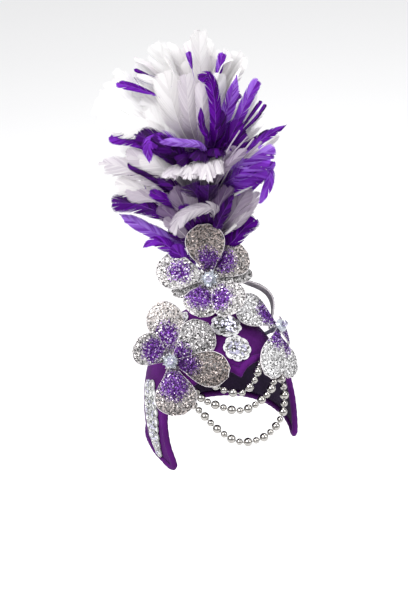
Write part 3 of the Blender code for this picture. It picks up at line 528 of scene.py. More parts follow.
def smooth_path(points, count, closed=False):
    """Evenly spaced points of a smooth curve through the given ones."""
    if closed:
        control = [points[-1], *points, points[0], points[1]]
    else:
        control = [points[0] * 2 - points[1], *points, points[-1] * 2 - points[-2]]
    fine = []
    for a, b, c, d in zip(control, control[1:], control[2:], control[3:]):
        for step in range(CURVE_STEPS):
            t = step / CURVE_STEPS
            fine.append(
                0.5 * (2 * b + (c - a) * t + (2 * a - 5 * b + 4 * c - d) * t**2 + (3 * b - a - 3 * c + d) * t**3)
            )
    fine.append(control[-2].copy())
    travelled = travelled_along(fine)
    spans = count if closed else count - 1
    even = []
    k = 0
    for i in range(count):
        wanted = travelled[-1] * i / spans
        while k < len(fine) - 2 and travelled[k + 1] < wanted:
            k += 1
        share = (wanted - travelled[k]) / max(travelled[k + 1] - travelled[k], 1e-9)
        even.append(fine[k].lerp(fine[k + 1], min(share, 1.0)))
    return even


class Build:
    """Gathers points, faces, per-point values and per-face materials, and makes one mesh of them."""

    def __init__(self):
        self.points = []
        self.faces = []
        self.slots = []
        self.values = {}
        self.count = 0

    def add(self, points, faces, slot=0, **values):
        points = np.asarray(points, float).reshape(-1, 3)
        start = self.count
        self.points.append(points)
        self.count += len(points)
        for face in faces:
            self.faces.append([int(k) + start for k in face])
            self.slots.append(slot)
        for name in set(values) | set(self.values):
            column = self.values.setdefault(name, [np.zeros(start)] if start else [])
            given = values.get(name, 0.0)
            column.append(np.broadcast_to(np.asarray(given, float), (len(points),)).copy())

    def finish(self, name, materials, smooth=True):
        mesh = bpy.data.meshes.new(name)
        points = np.concatenate(self.points)
        sizes = np.array([len(face) for face in self.faces])
        starts = np.concatenate([[0], np.cumsum(sizes)[:-1]])
        corners = np.concatenate([np.asarray(face) for face in self.faces])
        mesh.vertices.add(len(points))
        mesh.vertices.foreach_set("co", points.astype(np.float32).ravel())
        mesh.loops.add(len(corners))
        mesh.loops.foreach_set("vertex_index", corners.astype(np.int32))
        mesh.polygons.add(len(sizes))
        mesh.polygons.foreach_set("loop_start", starts.astype(np.int32))
        mesh.polygons.foreach_set("material_index", np.array(self.slots, np.int32))
        mesh.polygons.foreach_set("use_smooth", np.full(len(sizes), smooth, bool))
        mesh.update(calc_edges=True)
        for key, columns in self.values.items():
            attribute = mesh.attributes.new(key, "FLOAT", "POINT")
            attribute.data.foreach_set("value", np.concatenate(columns).astype(np.float32))
        for mat in materials:
            mesh.materials.append(mat)
        obj = bpy.data.objects.new(name, mesh)
        bpy.context.scene.collection.objects.link(obj)
        return obj


def placed(obj, slot, *nodes):
    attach(obj, "root")
    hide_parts(*nodes)


def grid_faces(rows, columns, closed_rows=False, closed_columns=False):
    faces = []
    for i in range(rows if closed_rows else rows - 1):
        for j in range(columns if closed_columns else columns - 1):
            a = i * columns + j
            b = i * columns + (j + 1) % columns
            c = ((i + 1) % rows) * columns + (j + 1) % columns
            d = ((i + 1) % rows) * columns + j
            faces.append((a, b, c, d))
    return faces


def grid_loop(rows, columns):
    """The points round the edge of a grid, in order."""
    loop = list(range(columns))
    loop += [i * columns + columns - 1 for i in range(1, rows)]
    loop += [(rows - 1) * columns + j for j in range(columns - 2, -1, -1)]
    loop += [i * columns for i in range(rows - 2, 0, -1)]
    return loop


def tube_faces(rings, sides):
    """Faces of a tube whose rings of points run from its start to its end, closed at both ends."""
    faces = grid_faces(rings, sides, False, True)
    faces.append(tuple(reversed(range(sides))))
    faces.append(tuple(range((rings - 1) * sides, rings * sides)))
    return faces


def sheet_faces(top, loop, below):
    """Faces of a thin solid: its top, the same faces below turned over, and a skirt along the loop."""
    low = [tuple(k + below for k in face[::-1]) for face in top]
    skirt = [(p, q, q + below, p + below) for p, q in zip(loop, loop[1:] + loop[:1])]
    return top + low + skirt


def ring_ways(one, two, sides, shift=0.0):
    """Ways round a ring, from two ways across it that also set its size."""
    turns = [math.tau * (k + shift) / sides for k in range(sides)]
    return [one * math.cos(turn) + two * math.sin(turn) for turn in turns]


def stacked_rings(place, one, two, axis, rows, sides):
    """Points of rings along an axis: each row holds a ring's reach, its height and its turn in sides."""
    points = []
    for reach, height, shift in rows:
        points += [place + way * reach + axis * height for way in ring_ways(one, two, sides, shift)]
    return points


def shaken(way, amount, chance):
    """The way, tipped by chance."""
    return (way + Vector([chance.gauss(0, amount) for _ in range(3)])).normalized()


def spun_frame(way, chance):
    """Two ways square to the given one and to each other, turned round it by chance."""
    one = Matrix.Rotation(chance.uniform(0, math.tau), 3, way) @ way.orthogonal().normalized()
    return one, way.cross(one)


def new_material(name):
    mat = bpy.data.materials.new(name)
    mat.use_nodes = True
    tree = mat.node_tree
    shader = tree.nodes["Principled BSDF"]
    return mat, tree, shader


def link(tree, a, b):
    tree.links.new(a, b)


def set_inputs(made, values):
    for name, value in values.items():
        made.inputs[name].default_value = value


def math_of(tree, operation, *inputs):
    made = tree.nodes.new("ShaderNodeMath")
    made.operation = operation
    for socket, value in zip(made.inputs, inputs):
        if isinstance(value, float):
            socket.default_value = value
        else:
            link(tree, value, socket)
    return made.outputs[0]


def ramp(tree, source, stops):
    made = tree.nodes.new("ShaderNodeValToRGB")
    elements = made.color_ramp.elements
    while len(elements) < len(stops):
        elements.new(0.5)
    for element, (place, colour) in zip(elements, stops):
        element.position = place
        element.color = (*colour, 1.0)
    link(tree, source, made.inputs[0])
    return made.outputs[0]


def mix(tree, share, a, b, blend_type="MIX"):
    made = tree.nodes.new("ShaderNodeMix")
    made.data_type = "RGBA"
    made.blend_type = blend_type
    for socket, value in ((made.inputs[0], share), (made.inputs[6], a), (made.inputs[7], b)):
        if isinstance(value, (int, float)):
            socket.default_value = value
        elif isinstance(value, tuple):
            socket.default_value = (*value, 1.0)
        else:
            link(tree, value, socket)
    return made.outputs[2]


def value_of(tree, name):
    made = tree.nodes.new("ShaderNodeAttribute")
    made.attribute_name = name
    return made.outputs["Fac"]


def noise_of(tree, scale, detail=3.0, rough=0.5, stretch=None):
    coords = tree.nodes.new("ShaderNodeTexCoord")
    source = coords.outputs["Object"]
    if stretch:
        mapping = tree.nodes.new("ShaderNodeMapping")
        mapping.inputs["Scale"].default_value = stretch
        link(tree, source, mapping.inputs["Vector"])
        source = mapping.outputs["Vector"]
    made = tree.nodes.new("ShaderNodeTexNoise")
    set_inputs(made, {"Scale": scale, "Detail": detail, "Roughness": rough})
    link(tree, source, made.inputs["Vector"])
    return made.outputs["Fac"]


def bump(tree, shader, height, strength, distance):
    made = tree.nodes.new("ShaderNodeBump")
    set_inputs(made, {"Strength": strength, "Distance": distance})
    link(tree, height, made.inputs["Height"])
    link(tree, made.outputs["Normal"], shader.inputs["Normal"])


def cloth_material(name, dark, light):
    """Fine matte stretch cloth with a soft sheen and a faint knit."""
    mat, tree, shader = new_material(name)
    cloud = noise_of(tree, 38.0, 4.0, 0.6)
    base = ramp(tree, cloud, ((0.30, dark), (0.72, light)))
    knit = noise_of(tree, 2600.0, 2.0, 0.5, (1.0, 1.0, 0.45))
    shade = ramp(tree, knit, ((0.35, BLACK), (0.65, WHITE)))
    link(tree, mix(tree, 0.16, base, shade, "SOFT_LIGHT"), shader.inputs["Base Color"])
    set_inputs(shader, {
        "Roughness": 0.82, "Specular IOR Level": 0.18,
        "Sheen Weight": 0.03, "Sheen Roughness": 0.4, "Sheen Tint": (0.62, 0.36, 0.85, 1.0),
    })
    bump(tree, shader, knit, 0.35, 0.0002)
    return mat


def feather_material(name, stops, root_shade_stops, quill, drift, streak, gloss, shine, sheen):
    """Barbs run from a quill. Tone picks the feather's colour and its painted shade: greys on white feathers and
    the darkest violets stand in for shade. Shade varies the colour from barb to barb, and one vane is painted
    lighter than the other.
    """
    mat, tree, shader = new_material(name)
    lean = math_of(tree, "MULTIPLY_ADD", value_of(tree, "shade"), drift, -0.5 * drift)
    base = ramp(tree, math_of(tree, "ADD", value_of(tree, "tone"), lean), stops)
    shade = ramp(tree, value_of(tree, "shade"), ((0.0, (1 - streak,) * 3), (0.6, WHITE)))
    base = mix(tree, 1.0, base, shade, "MULTIPLY")
    # Painted shade: colour darkens towards the root of the feather, deep in the plume; for violet feathers this is
    # partly their own darker plum roots
    root_shade = ramp(tree, value_of(tree, "along"), root_shade_stops)
    base = mix(tree, 1.0, base, root_shade, "MULTIPLY")
    base = mix(tree, value_of(tree, "quill"), base, quill)
    link(tree, base, shader.inputs["Base Color"])
    set_inputs(shader, {
        "Roughness": 0.55, "Specular IOR Level": shine,
        "Sheen Weight": gloss, "Sheen Roughness": 0.35, "Sheen Tint": (*sheen, 1.0),
    })
    glow = tree.nodes.new("ShaderNodeBsdfTranslucent")
    link(tree, base, glow.inputs["Color"])
    blend = tree.nodes.new("ShaderNodeMixShader")
    blend.inputs["Fac"].default_value = SEEN_THROUGH
    link(tree, shader.outputs["BSDF"], blend.inputs[1])
    link(tree, glow.outputs["BSDF"], blend.inputs[2])
    link(tree, blend.outputs["Shader"], tree.nodes["Material Output"].inputs["Surface"])
    return mat


def flake_material(name):
    """Glitter flakes: each is painted its own brightness, as a painted glint on some and dark on others, and those
    in the patch are violet.
    """
    mat, tree, shader = new_material(name)
    spark = value_of(tree, "spark")
    # Painted glints: flakes run from near black to white, standing in for how each one catches the light
    silver = ramp(tree, spark, (
        (0.0, (0.015, 0.015, 0.017)), (0.30, (0.10, 0.097, 0.097)),
        (0.55, (0.46, 0.45, 0.45)), (0.80, WHITE),
    ))
    # Painted reflection: a warm brownish tint, stronger towards the petal's tip, stands in for warm surroundings
    # that the glitter reflects
    warm = mix(tree, value_of(tree, "warm"), silver, mix(tree, 1.0, silver, (0.88, 0.73, 0.65), "MULTIPLY"))
    violet = ramp(tree, spark, (
        (0.0, (0.018, 0.0, 0.050)), (0.42, (0.100, 0.008, 0.250)),
        (0.74, (0.28, 0.08, 0.56)), (0.92, (0.95, 0.86, 1.0)),
    ))
    base = mix(tree, value_of(tree, "violet"), warm, violet)
    # Painted light and shade: each petal's glitter is painted lighter or darker by how lit it is meant to look
    painted_petal_shade = ramp(tree, value_of(tree, "bright"), (
        (0.0, (0.20, 0.19, 0.19)), (0.5, (0.60, 0.58, 0.59)), (1.0, WHITE),
    ))
    link(tree, mix(tree, 1.0, base, painted_petal_shade, "MULTIPLY"), shader.inputs["Base Color"])
    set_inputs(shader, {"Metallic": 0.55, "Roughness": 0.30})
    return mat


def plain_material(name, colour, roughness, metallic, coat):
    mat, tree, shader = new_material(name)
    cloud = noise_of(tree, 220.0, 3.0, 0.6)
    dark = tuple(c * 0.78 for c in colour)
    link(tree, ramp(tree, cloud, ((0.32, dark), (0.68, colour))), shader.inputs["Base Color"])
    set_inputs(shader, {"Roughness": roughness, "Metallic": metallic, "Coat Weight": coat})
    bump(tree, shader, noise_of(tree, 1800.0, 2.0, 0.5), 0.25, 0.00015)
    return mat


def ground_material(name):
    """The glue bed that shows between the flakes, painted paler on the petals that are painted as lit."""
    mat, tree, shader = new_material(name)
    # Painted light: the bed is painted paler on petals meant to look lit
    base = ramp(tree, value_of(tree, "bright"), (
        (0.0, (0.09, 0.085, 0.085)), (0.5, (0.24, 0.23, 0.235)), (1.0, (0.74, 0.73, 0.74)),
    ))
    base = mix(tree, value_of(tree, "violet"), base, (0.120, 0.018, 0.250))
    grain = ramp(tree, noise_of(tree, 900.0, 2.0), ((0.3, (0.55, 0.55, 0.55)), (0.7, WHITE)))
    link(tree, mix(tree, 1.0, base, grain, "MULTIPLY"), shader.inputs["Base Color"])
    set_inputs(shader, {"Metallic": 0.3, "Roughness": 0.45})
    return mat


def make_materials():
    made = {key: plain_material(*row) for key, row in PLAIN_LOOKS.items()}
    made["cloth"] = cloth_material("violet cloth", (0.060, 0.0028, 0.098), (0.098, 0.0046, 0.162))
    made["lining"] = cloth_material("dark lining", (0.012, 0.006, 0.020), (0.030, 0.014, 0.050))
    for key, row in FEATHER_LOOKS.items():
        made[key] = feather_material(f"{key} feather", *row)
    made["flake"] = flake_material("glitter")
    made["ground"] = ground_material("glitter ground")
    made["sequin"] = flake_material("sequin")
    return made


def camera_axes():
    back = heading(CAMERA_ROUND, CAMERA_UP)
    a = math.radians(CAMERA_ROUND)
    level = Vector((math.cos(a), math.sin(a), 0.0))
    rise = back.cross(level)
    t = math.radians(CAMERA_TILT)
    right = level * math.cos(t) + rise * math.sin(t)
    up = rise * math.cos(t) - level * math.sin(t)
    place = level * CAMERA_SIDE + Vector((0, 0, CAMERA_RAISE)) + back * CAMERA_DISTANCE
    return place, right, up, back


def from_photo(x, y, toward):
    """The point seen at a pixel, on the upright plane through the stem that faces the camera, moved towards it."""
    place, right, up, back = camera_axes()
    ray = -back + right * ((x - IMAGE_WIDTH / 2) / FOCAL_PIXELS) + up * ((IMAGE_HEIGHT / 2 - y) / FOCAL_PIXELS)
    facing = heading(CAMERA_ROUND, 0)
    origin = Vector((STEM_X, STEM_Y, 0)) + facing * toward
    return place + ray * ((origin - place).dot(facing) / ray.dot(facing))


def make_camera():
    place, right, up, back = camera_axes()
    data = bpy.data.cameras.new("camera")
    data.sensor_width = SENSOR_SIZE
    data.lens = FOCAL_PIXELS * SENSOR_SIZE / IMAGE_HEIGHT
    obj = bpy.data.objects.new("camera", data)
    bpy.context.scene.collection.objects.link(obj)
    turn = Matrix((right, up, back)).transposed().to_4x4()
    obj.matrix_world = Matrix.Translation(place) @ turn
    bpy.context.scene.camera = obj


def make_lights():
    world = bpy.data.worlds.new("studio")
    bpy.context.scene.world = world
    world.use_nodes = True
    tree = world.node_tree
    background = tree.nodes["Background"]
    coords = tree.nodes.new("ShaderNodeTexCoord")
    split = tree.nodes.new("ShaderNodeSeparateXYZ")
    link(tree, coords.outputs["Generated"], split.inputs[0])
    share = math_of(tree, "MULTIPLY_ADD", split.outputs["Z"], 0.5, 0.5)
    link(tree, ramp(tree, share, SKY), background.inputs["Color"])
    background.inputs["Strength"].default_value = SKY_STRENGTH
    for name, around, up, distance, size, energy in LIGHTS:
        data = bpy.data.lights.new(name, "AREA")
        data.size = size
        data.energy = energy
        lamp = bpy.data.objects.new(name, data)
        way = heading(around, up)
        lamp.location = Vector((0, 0, LIT_HEIGHT)) + way * distance
        lamp.rotation_mode = "QUATERNION"
        lamp.rotation_quaternion = way.to_track_quat("Z", "Y")
        bpy.context.scene.collection.objects.link(lamp)
    bpy.context.scene.view_settings.view_transform = "Standard"


def make_floor():
    floor = Build()
    corners = ((-1, -1), (1, -1), (1, 1), (-1, 1))
    floor.add([(x * FLOOR_HALF, y * FLOOR_HALF, FLOOR_HEIGHT) for x, y in corners], [(0, 1, 2, 3)])
    mat, tree, shader = new_material("pale floor")
    tint = ramp(tree, noise_of(tree, 1.2, 2.0), ((0.0, (0.70, 0.70, 0.70)), (1.0, (0.72, 0.72, 0.72))))
    link(tree, tint, shader.inputs["Base Color"])
    set_inputs(shader, {"Roughness": 0.9, "Emission Color": (1.0, 1.0, 1.0, 1.0), "Emission Strength": 0.22})
    obj = floor.finish("floor", [mat], smooth=False)


def cap_outline(count):
    """Even points round the cap's edge, its peak turned a little to one side."""
    points = []
    for side, rows in ((1, OUTLINE), (-1, reversed(OUTLINE[1:-1]))):
        for around, down in rows:
            turn = PEAK_TURN * math.cos(math.radians(around) / 2) ** 6
            points.append(dome(side * around + turn, down))
    return smooth_path(points, count, closed=True)


def edge_frames(count):
    """At even places along the cap's edge: the point, and the ways along it, out of the dome and up the dome."""
    outline = cap_outline(count)
    frames = []
    for i, point in enumerate(outline):
        along = (outline[(i + 1) % count] - outline[i - 1]).normalized()
        out = normal_at(point)
        frames.append((point, along, out, out.cross(along).normalized()))
    return frames


def on_plan(around, down):
    """The dome laid out flat, with degrees down from its crown as the distance from the middle."""
    a = math.radians(around)
    return Vector((down * math.sin(a), -down * math.cos(a)))


def from_plan(point):
    return math.degrees(math.atan2(point.x, -point.y)), point.length


def is_inside(point, outline):
    inside = False
    for a, b in zip(outline, outline[1:] + outline[:1]):
        if (a.y > point.y) != (b.y > point.y) and point.x < a.x + (b.x - a.x) * (point.y - a.y) / (b.y - a.y):
            inside = not inside
    return inside


def cap_relief(around, down):
    """Small slack folds of the stretched cloth, in metres, always inwards."""
    p = dome(around, down) * 22.0
    fold = noise.noise(p * 1.3) * 0.5 + 0.5
    ripple = abs(math.sin(around * 0.16 + down * 0.32 + 3.0 * noise.noise(p)))
    near_edge = max(0.0, (down - 34.0) / 20.0) if abs(around) < 45 else 0.3
    return -0.0007 * fold - 0.0006 * (1 - ripple) ** 3 * min(near_edge, 1.0)


def make_cap(mats):
    """The shell: a net of triangles over the dome's plan, cut along the cap's edge, with its lining inside."""
    edge = []
    for point, _, _, up in edge_frames(SHELL_EDGE_COUNT):
        edge.append(on_plan(*dome_angles(point + up * (SHELL_INSET - SHELL_TUCK))))
    inner = [Vector((0.0, 0.0))]
    for ring in range(1, SHELL_RINGS + 1):
        number = max(6, int(6 * ring * 0.9)) if ring < SHELL_LOW_RING else SHELL_LOW_COUNT
        for k in range(number):
            place = on_plan(360.0 * (k + 0.5 * (ring % 2)) / number, SHELL_RING_STEP * ring)
            if is_inside(place, edge) and min((place - corner).length for corner in edge) > SHELL_MARGIN:
                inner.append(place)
    rim = [(k, (k + 1) % SHELL_EDGE_COUNT) for k in range(SHELL_EDGE_COUNT)]
    points, _, triangles, *_ = geometry.delaunay_2d_cdt(edge + inner, rim, [], 1, 1e-6)
    places = [from_plan(point) for point in points]
    outer = [dome(around, down, cap_relief(around, down)) for around, down in places]
    lining = [dome(around, down, -WALL) for around, down in places]
    faces = []
    for corners in triangles:
        a, b, c = (outer[k] for k in corners)
        turned = (b - a).cross(c - a).dot(a + Vector((0, 0, 0.1))) < 0
        faces.append(tuple(reversed(corners)) if turned else tuple(corners))
    total = len(points)
    shell = Build()
    shell.add(outer, faces, 0)
    shell.add(lining, [tuple(reversed(face)) for face in faces], 1)
    shell.faces += [(far, near, near + total, far + total) for near, far in rim]
    shell.slots += [0] * len(rim)
    obj = shell.finish("cap", [mats["cloth"], mats["lining"]])
    placed(obj, "violet_cloth", "cap_shell")


def make_roll(mats):
    """The padded roll, puckered a little between its stitches, with a seam where it meets the cap."""
    rings = []
    stitches = []
    for i, (point, along, out, up) in enumerate(edge_frames(ROLL_RINGS)):
        centre = point + up * (ROLL_WIDTH / 2) - out * (WALL / 2)
        pucker = 1.0 + 0.035 * math.sin(i * math.tau / ROLL_RINGS * ROLL_PUCKERS) + 0.03 * noise.noise(point * 60)
        width = ROLL_WIDTH / 2 * pucker
        thick = ROLL_THICKNESS / 2 * pucker
        rings += [centre + way for way in ring_ways(up * width, out * thick, ROLL_SIDES)]
        if i % STITCH_EVERY == 0:
            stitches.append((centre + up * (ROLL_WIDTH / 2 + 0.0002) + out * 0.0012, along * STITCH_HALF))
    roll = Build()
    roll.add(rings, [face[::-1] for face in grid_faces(ROLL_RINGS, ROLL_SIDES, True, True)])
    for place, half in stitches:
        add_bar(roll, place - half, place + half, STITCH_RADIUS, 1)
    obj = roll.finish("edge_roll", [mats["cloth"], mats["stitch"]])
    placed(obj, "violet_cloth", "rim_roll")


def add_bar(build, start, end, radius, slot):
    """A short stitch with blunt ends."""
    length = (end - start).length
    way = (end - start).normalized()
    across = way.orthogonal().normalized()
    rows = [(radius * size, length * share, 0.0) for size, share in BAR_SHAPE]
    points = stacked_rings(start, across, way.cross(across), way, rows, STITCH_SIDES)
    build.add(points, tube_faces(len(rows), STITCH_SIDES), slot)


def make_stem(mats):
    """The post, bound with a ribbon wound up it in slanting turns."""
    points = []
    for i in range(STEM_RINGS):
        height = STEM_BOTTOM + (STEM_TOP - STEM_BOTTOM) * (i / (STEM_RINGS - 1))
        spread = 1.0 - min(1.0, max(0.0, (height - FOOT_LOW) / FOOT_RISE))
        radius = STEM_RADIUS + (FOOT_RADIUS - STEM_RADIUS) * spread**1.6
        for k in range(STEM_SIDES):
            turn = math.tau * k / STEM_SIDES
            lap = (height / RIBBON_PITCH + k / STEM_SIDES) % 1.0
            reach = radius + RIBBON_LAP * lap - 0.0001
            points.append((STEM_X + reach * math.cos(turn), STEM_Y + reach * math.sin(turn), height))
    build = Build()
    build.add(points, tube_faces(STEM_RINGS, STEM_SIDES))
    obj = build.finish("bound_stem", [mats["cloth"]])
    placed(obj, "violet_cloth", "plume_stem")


def feather_outline(blunt, steps_side, steps_end, bare, wide):
    """Where barbs end: share of the length, and of the half width."""
    places = []
    for k in range(steps_side):
        share = k / steps_side
        places.append((bare + (wide - bare) * share, 0.30 + 0.70 * math.sin(share * math.pi / 2) ** 0.9))
    for k in range(steps_end):
        turn = math.pi / 2 * (k + 0.5) / steps_end
        places.append((
            wide + (1 - wide) * math.sin(turn) ** (2 / blunt),
            math.cos(turn) ** (2 / blunt),
        ))
    return np.array(places)


def feather_frame(path, hint):
    """How far along a feather each point lies, and the ways along it, out of its upper face and across it."""
    spans = np.linalg.norm(np.diff(path, axis=0), axis=1)
    travelled = np.concatenate([[0.0], np.cumsum(spans)])
    tangents = np.gradient(path, travelled, axis=0)
    tangents /= np.linalg.norm(tangents, axis=1, keepdims=True)
    normals = hint - tangents * np.sum(hint * tangents, axis=1, keepdims=True)
    normals /= np.linalg.norm(normals, axis=1, keepdims=True) + 1e-9
    return travelled, tangents, normals, np.cross(tangents, normals)


def barb_locks(number, fray, chance):
    """Runs of barbs that keep together: how far each barb bends, its length and how far its end rises."""
    bend, trim, rise = np.zeros((3, number))
    k = 0
    while k < number:
        size = min(chance.randint(5, 16), number - k)
        block = slice(k, k + size)
        lean = chance.uniform(-0.05, 0.05) * fray
        trim[block] = 1 - abs(chance.gauss(0, 0.05)) * fray
        rise[block] = chance.gauss(0, 0.09) * fray
        spread = np.linspace(-1, 1, size) if size > 1 else np.zeros(1)
        bend[block] = lean - spread * chance.uniform(0.004, 0.016) * fray
        k += size
    return bend, trim, rise


def barb_shades(number, chance):
    """A shade for each barb, shared by a few barbs side by side."""
    shade = np.zeros(number)
    k = 0
    while k < number:
        size = chance.randint(1, 4)
        shade[k:k + size] = chance.random()
        k += size
    return shade


def add_feather(build, path, hint, half, blunt, bare, tone, chance, fray):
    """A curved quill with a vane of barbs on each side, which part in places into locks."""
    travelled, tangents, normals, across = feather_frame(path, hint)
    length = travelled[-1]
    share = travelled / length

    def at(t, values):
        t = np.clip(t, 0.0, 1.0)
        return np.stack([np.interp(t, share, values[:, axis]) for axis in range(3)], -1)

    wide = 1 - min(0.45, half * 1.15 / length * (1.0 if blunt > 1.5 else 2.6))
    bare = min(bare, wide - 0.08)
    steps_side = max(8, int(length * (wide - bare) / BARB_GAP))
    steps_end = max(8, int((length * (1 - wide) + half * 0.8) / BARB_GAP))
    outline = feather_outline(blunt, steps_side, steps_end, bare, wide)
    number = len(outline)
    ends = outline[:, 0]
    angle = np.radians(np.interp(ends, *zip(*BARB_ANGLES)))
    s = np.array(BARB_STOPS)[None, :]
    curve = 0.62 * s + 0.38 * s**2
    widths = np.array([*BARB_WIDTHS, max(BARB_TIP_LEAST, BARB_TIP_WIDTH - BARB_TIP_WIDTH * fray)])[None, :, None]
    fray *= min(1.0, half / FULL_FRAY_HALF)
    # Painted light: one vane of the feather is painted lighter and the other darker, as if light fell on it from
    # one side
    painted_vane_light = chance.choice((-0.22, -0.12, 0.12, 0.22))
    for side in (-1.0, 1.0):
        reach = outline[:, 1] * (half * (1 + 0.06 * chance.uniform(-1, 1)))
        start = np.clip(ends - reach / np.tan(angle) / length, 0.03, 0.995)
        forward = (ends - start) * length
        bend, trim, rise = barb_locks(number, fray, chance)
        shade = barb_shades(number, chance)
        jitter = np.array([chance.uniform(-1, 1) for _ in range(number)])
        trim = trim * (1 + 0.03 * jitter * fray)
        lateral = (reach * trim)[:, None] * s
        ahead = forward[:, None] * curve + bend[:, None] * length * s**2 * 0.5
        t = start[:, None] + ahead / length
        over = np.clip(t - 1.0, 0.0, None) * length
        centre = at(t, path) + at(t, tangents) * over[..., None]
        a = at(t, across)
        n = at(t, normals)
        drop = -VANE_CUP * lateral**2 / half + (rise * half)[:, None] * s**2 + (0.012 * jitter * half)[:, None] * s
        place = centre + a * (side * lateral)[..., None] + n * drop[..., None]
        smooth = at(start[:, None] + forward[:, None] * curve / length, path)
        gap = np.gradient(smooth + a * (side * reach[:, None] * s)[..., None], axis=0)
        gap_size = np.linalg.norm(gap, axis=2, keepdims=True)
        gap = gap / (gap_size + 1e-9) * np.clip(gap_size, *BARB_GAP_RANGE)
        near = place - gap * widths - n * BARB_SLANT
        far = place + gap * widths + n * BARB_SLANT
        per = len(BARB_STOPS) * 2
        faces = []
        for i in range(number):
            for j in range(len(BARB_STOPS) - 1):
                p = i * per + j * 2
                quad = (p, p + 1, p + 3, p + 2)
                faces.append(quad if side > 0 else quad[::-1])
        build.add(
            np.stack([near, far], axis=2), faces, 0,
            tone=tone,
            shade=np.repeat(np.clip(shade + side * painted_vane_light + 0.15 * jitter, 0, 1), per),
            along=np.repeat(np.clip(t, 0, 1).reshape(-1), 2),
            quill=0.0,
        )
    points = []
    for i in range(QUILL_RINGS):
        t = i / (QUILL_RINGS - 1) * QUILL_END
        radius = min(QUILL_RADIUS, half * 0.3) * (1 - t) ** 0.7 + QUILL_TIP_RADIUS
        points += [at(t, path) + way * radius for way in ring_ways(at(t, across), at(t, normals), QUILL_SIDES)]
    faces = tube_faces(QUILL_RINGS, QUILL_SIDES)
    build.add(points, faces, 0, tone=tone, shade=0.8, along=1.0, quill=0.25 + 0.45 * tone)


def own_normals(path, side):
    """Ways out of the upper face of a feather that lies along the path, turned so that side is across it."""
    tangents = np.gradient(path, axis=0)
    own = np.cross(tangents, np.array(side))
    own /= np.linalg.norm(own, axis=1, keepdims=True) + 1e-9
    return own


def placed_feather(build, tier, row, chance):
    """A feather whose quill runs from the stem along a way in the photo."""
    half, blunt, bare, tone, facing, fray, way = row
    stops = [from_photo(*way[k:k + 3]) for k in range(0, len(way), 3)]
    root_height = TIERS[tier][1]
    out = Vector((stops[0].x - STEM_X, stops[0].y - STEM_Y, 0)).normalized()
    root = Vector((STEM_X, STEM_Y, root_height)) + out * ROOT_RADIUS
    if (stops[0] - root).length > 0.03:
        lift = min(0.020, 0.4 * abs(stops[0].z - root_height))
        stops.insert(0, root + out * 0.002 + Vector((0, 0, lift)))
    path = np.array([tuple(p) for p in smooth_path([root, *stops], 30)])
    back = np.array(heading(CAMERA_ROUND, CAMERA_UP))
    own = own_normals(path, out.cross(Vector((0, 0, 1))))
    own *= np.where(own @ back < 0, -1.0, 1.0)[:, None]
    hint = own * (1 - facing) + back * facing
    add_feather(build, path, hint, half, blunt, bare, tone, chance, PLACED_FRAY * fray)


def frontness(around):
    return max(0.0, math.cos(math.radians(around - PLUME_FRONT))) ** 2


def tier_height(tier, radius, around):
    _, root, rise, spread, _, _, steepness = TIERS[tier]
    span = spread * (1 - steepness * frontness(around))
    return root + rise * (1 - math.exp(-(radius - COLLAR_RADIUS) / span))


def fill_feather(build, tier, around, chance):
    """A feather that follows its tier's own curve, for the sides and the back."""
    colour, _, _, _, left, right, steepness = TIERS[tier]
    side = 0.5 - 0.5 * math.cos(math.radians(around - PLUME_LEFT))
    reach = (left + (right - left) * side) * chance.uniform(0.70, 1.0) * (1 - 0.87 * steepness * frontness(around))
    out = heading(around, 0)
    swing = heading(around + 90, 0)
    lean = chance.uniform(-0.30, 0.30)
    droop = chance.uniform(-0.004, 0.016)
    stops = []
    for share in FILL_STOPS:
        radius = ROOT_RADIUS + (reach - ROOT_RADIUS) * share
        height = tier_height(tier, max(radius, COLLAR_RADIUS), around) - droop * share**3
        stops.append(Vector((STEM_X, STEM_Y, height)) + out * radius + swing * (lean * reach * share**2))
    path = np.array([tuple(p) for p in smooth_path(stops, 26)])
    hint = own_normals(path, swing)
    hint *= np.where(hint[:, 2] < 0, -1.0, 1.0)[:, None]
    hint = hint + np.array(swing) * chance.uniform(-0.5, 0.5)
    if colour == "violet":
        half = chance.uniform(0.0055, 0.0120)
        tone = chance.choice(FILL_TONES)
    else:
        half = chance.uniform(0.0085, 0.0140)
        tone = chance.uniform(0.45, 1.0)
    add_feather(build, path, hint, half, chance.uniform(1.8, 3.2), FILL_BARE, tone, chance, FILL_FRAY[colour])


def make_plume(mats):
    for tier, (colour, *_) in TIERS.items():
        chance = random.Random(tier)
        build = Build()
        for row in FEATHERS[tier]:
            placed_feather(build, tier, row, chance)
        if tier != "plume_tip":
            for k in range(FILL_COUNT):
                around = 360.0 * (k + chance.uniform(-0.25, 0.25)) / FILL_COUNT
                turn = abs((around - CAMERA_ROUND + 180.0) % 360.0 - 180.0)
                if turn > FILL_TURN.get(tier, FILL_TURN_USUAL):
                    fill_feather(build, tier, around, chance)
        slot = "violet_feather" if colour == "violet" else "white_feather"
        obj = build.finish(f"{tier}_feathers", [mats[colour]])
        placed(obj, slot, tier)


def spline(table, x):
    """A smooth curve through the table's points that keeps between them."""
    xs = np.array([row[0] for row in table])
    ys = np.array([row[1] for row in table])
    slopes = np.gradient(ys, xs)
    k = np.clip(np.searchsorted(xs, x) - 1, 0, len(xs) - 2)
    h = xs[k + 1] - xs[k]
    t = (x - xs[k]) / h
    return (
        (2 * t**3 - 3 * t**2 + 1) * ys[k] + (t**3 - 2 * t**2 + t) * h * slopes[k]
        + (-2 * t**3 + 3 * t**2) * ys[k + 1] + (t**3 - t**2) * h * slopes[k + 1]
    )


def flower_frame(name):
    """A flower's middle and the way it faces."""
    x, y, z, around, up = FLOWERS[name]
    return Vector((x, y, z)), heading(around, up)


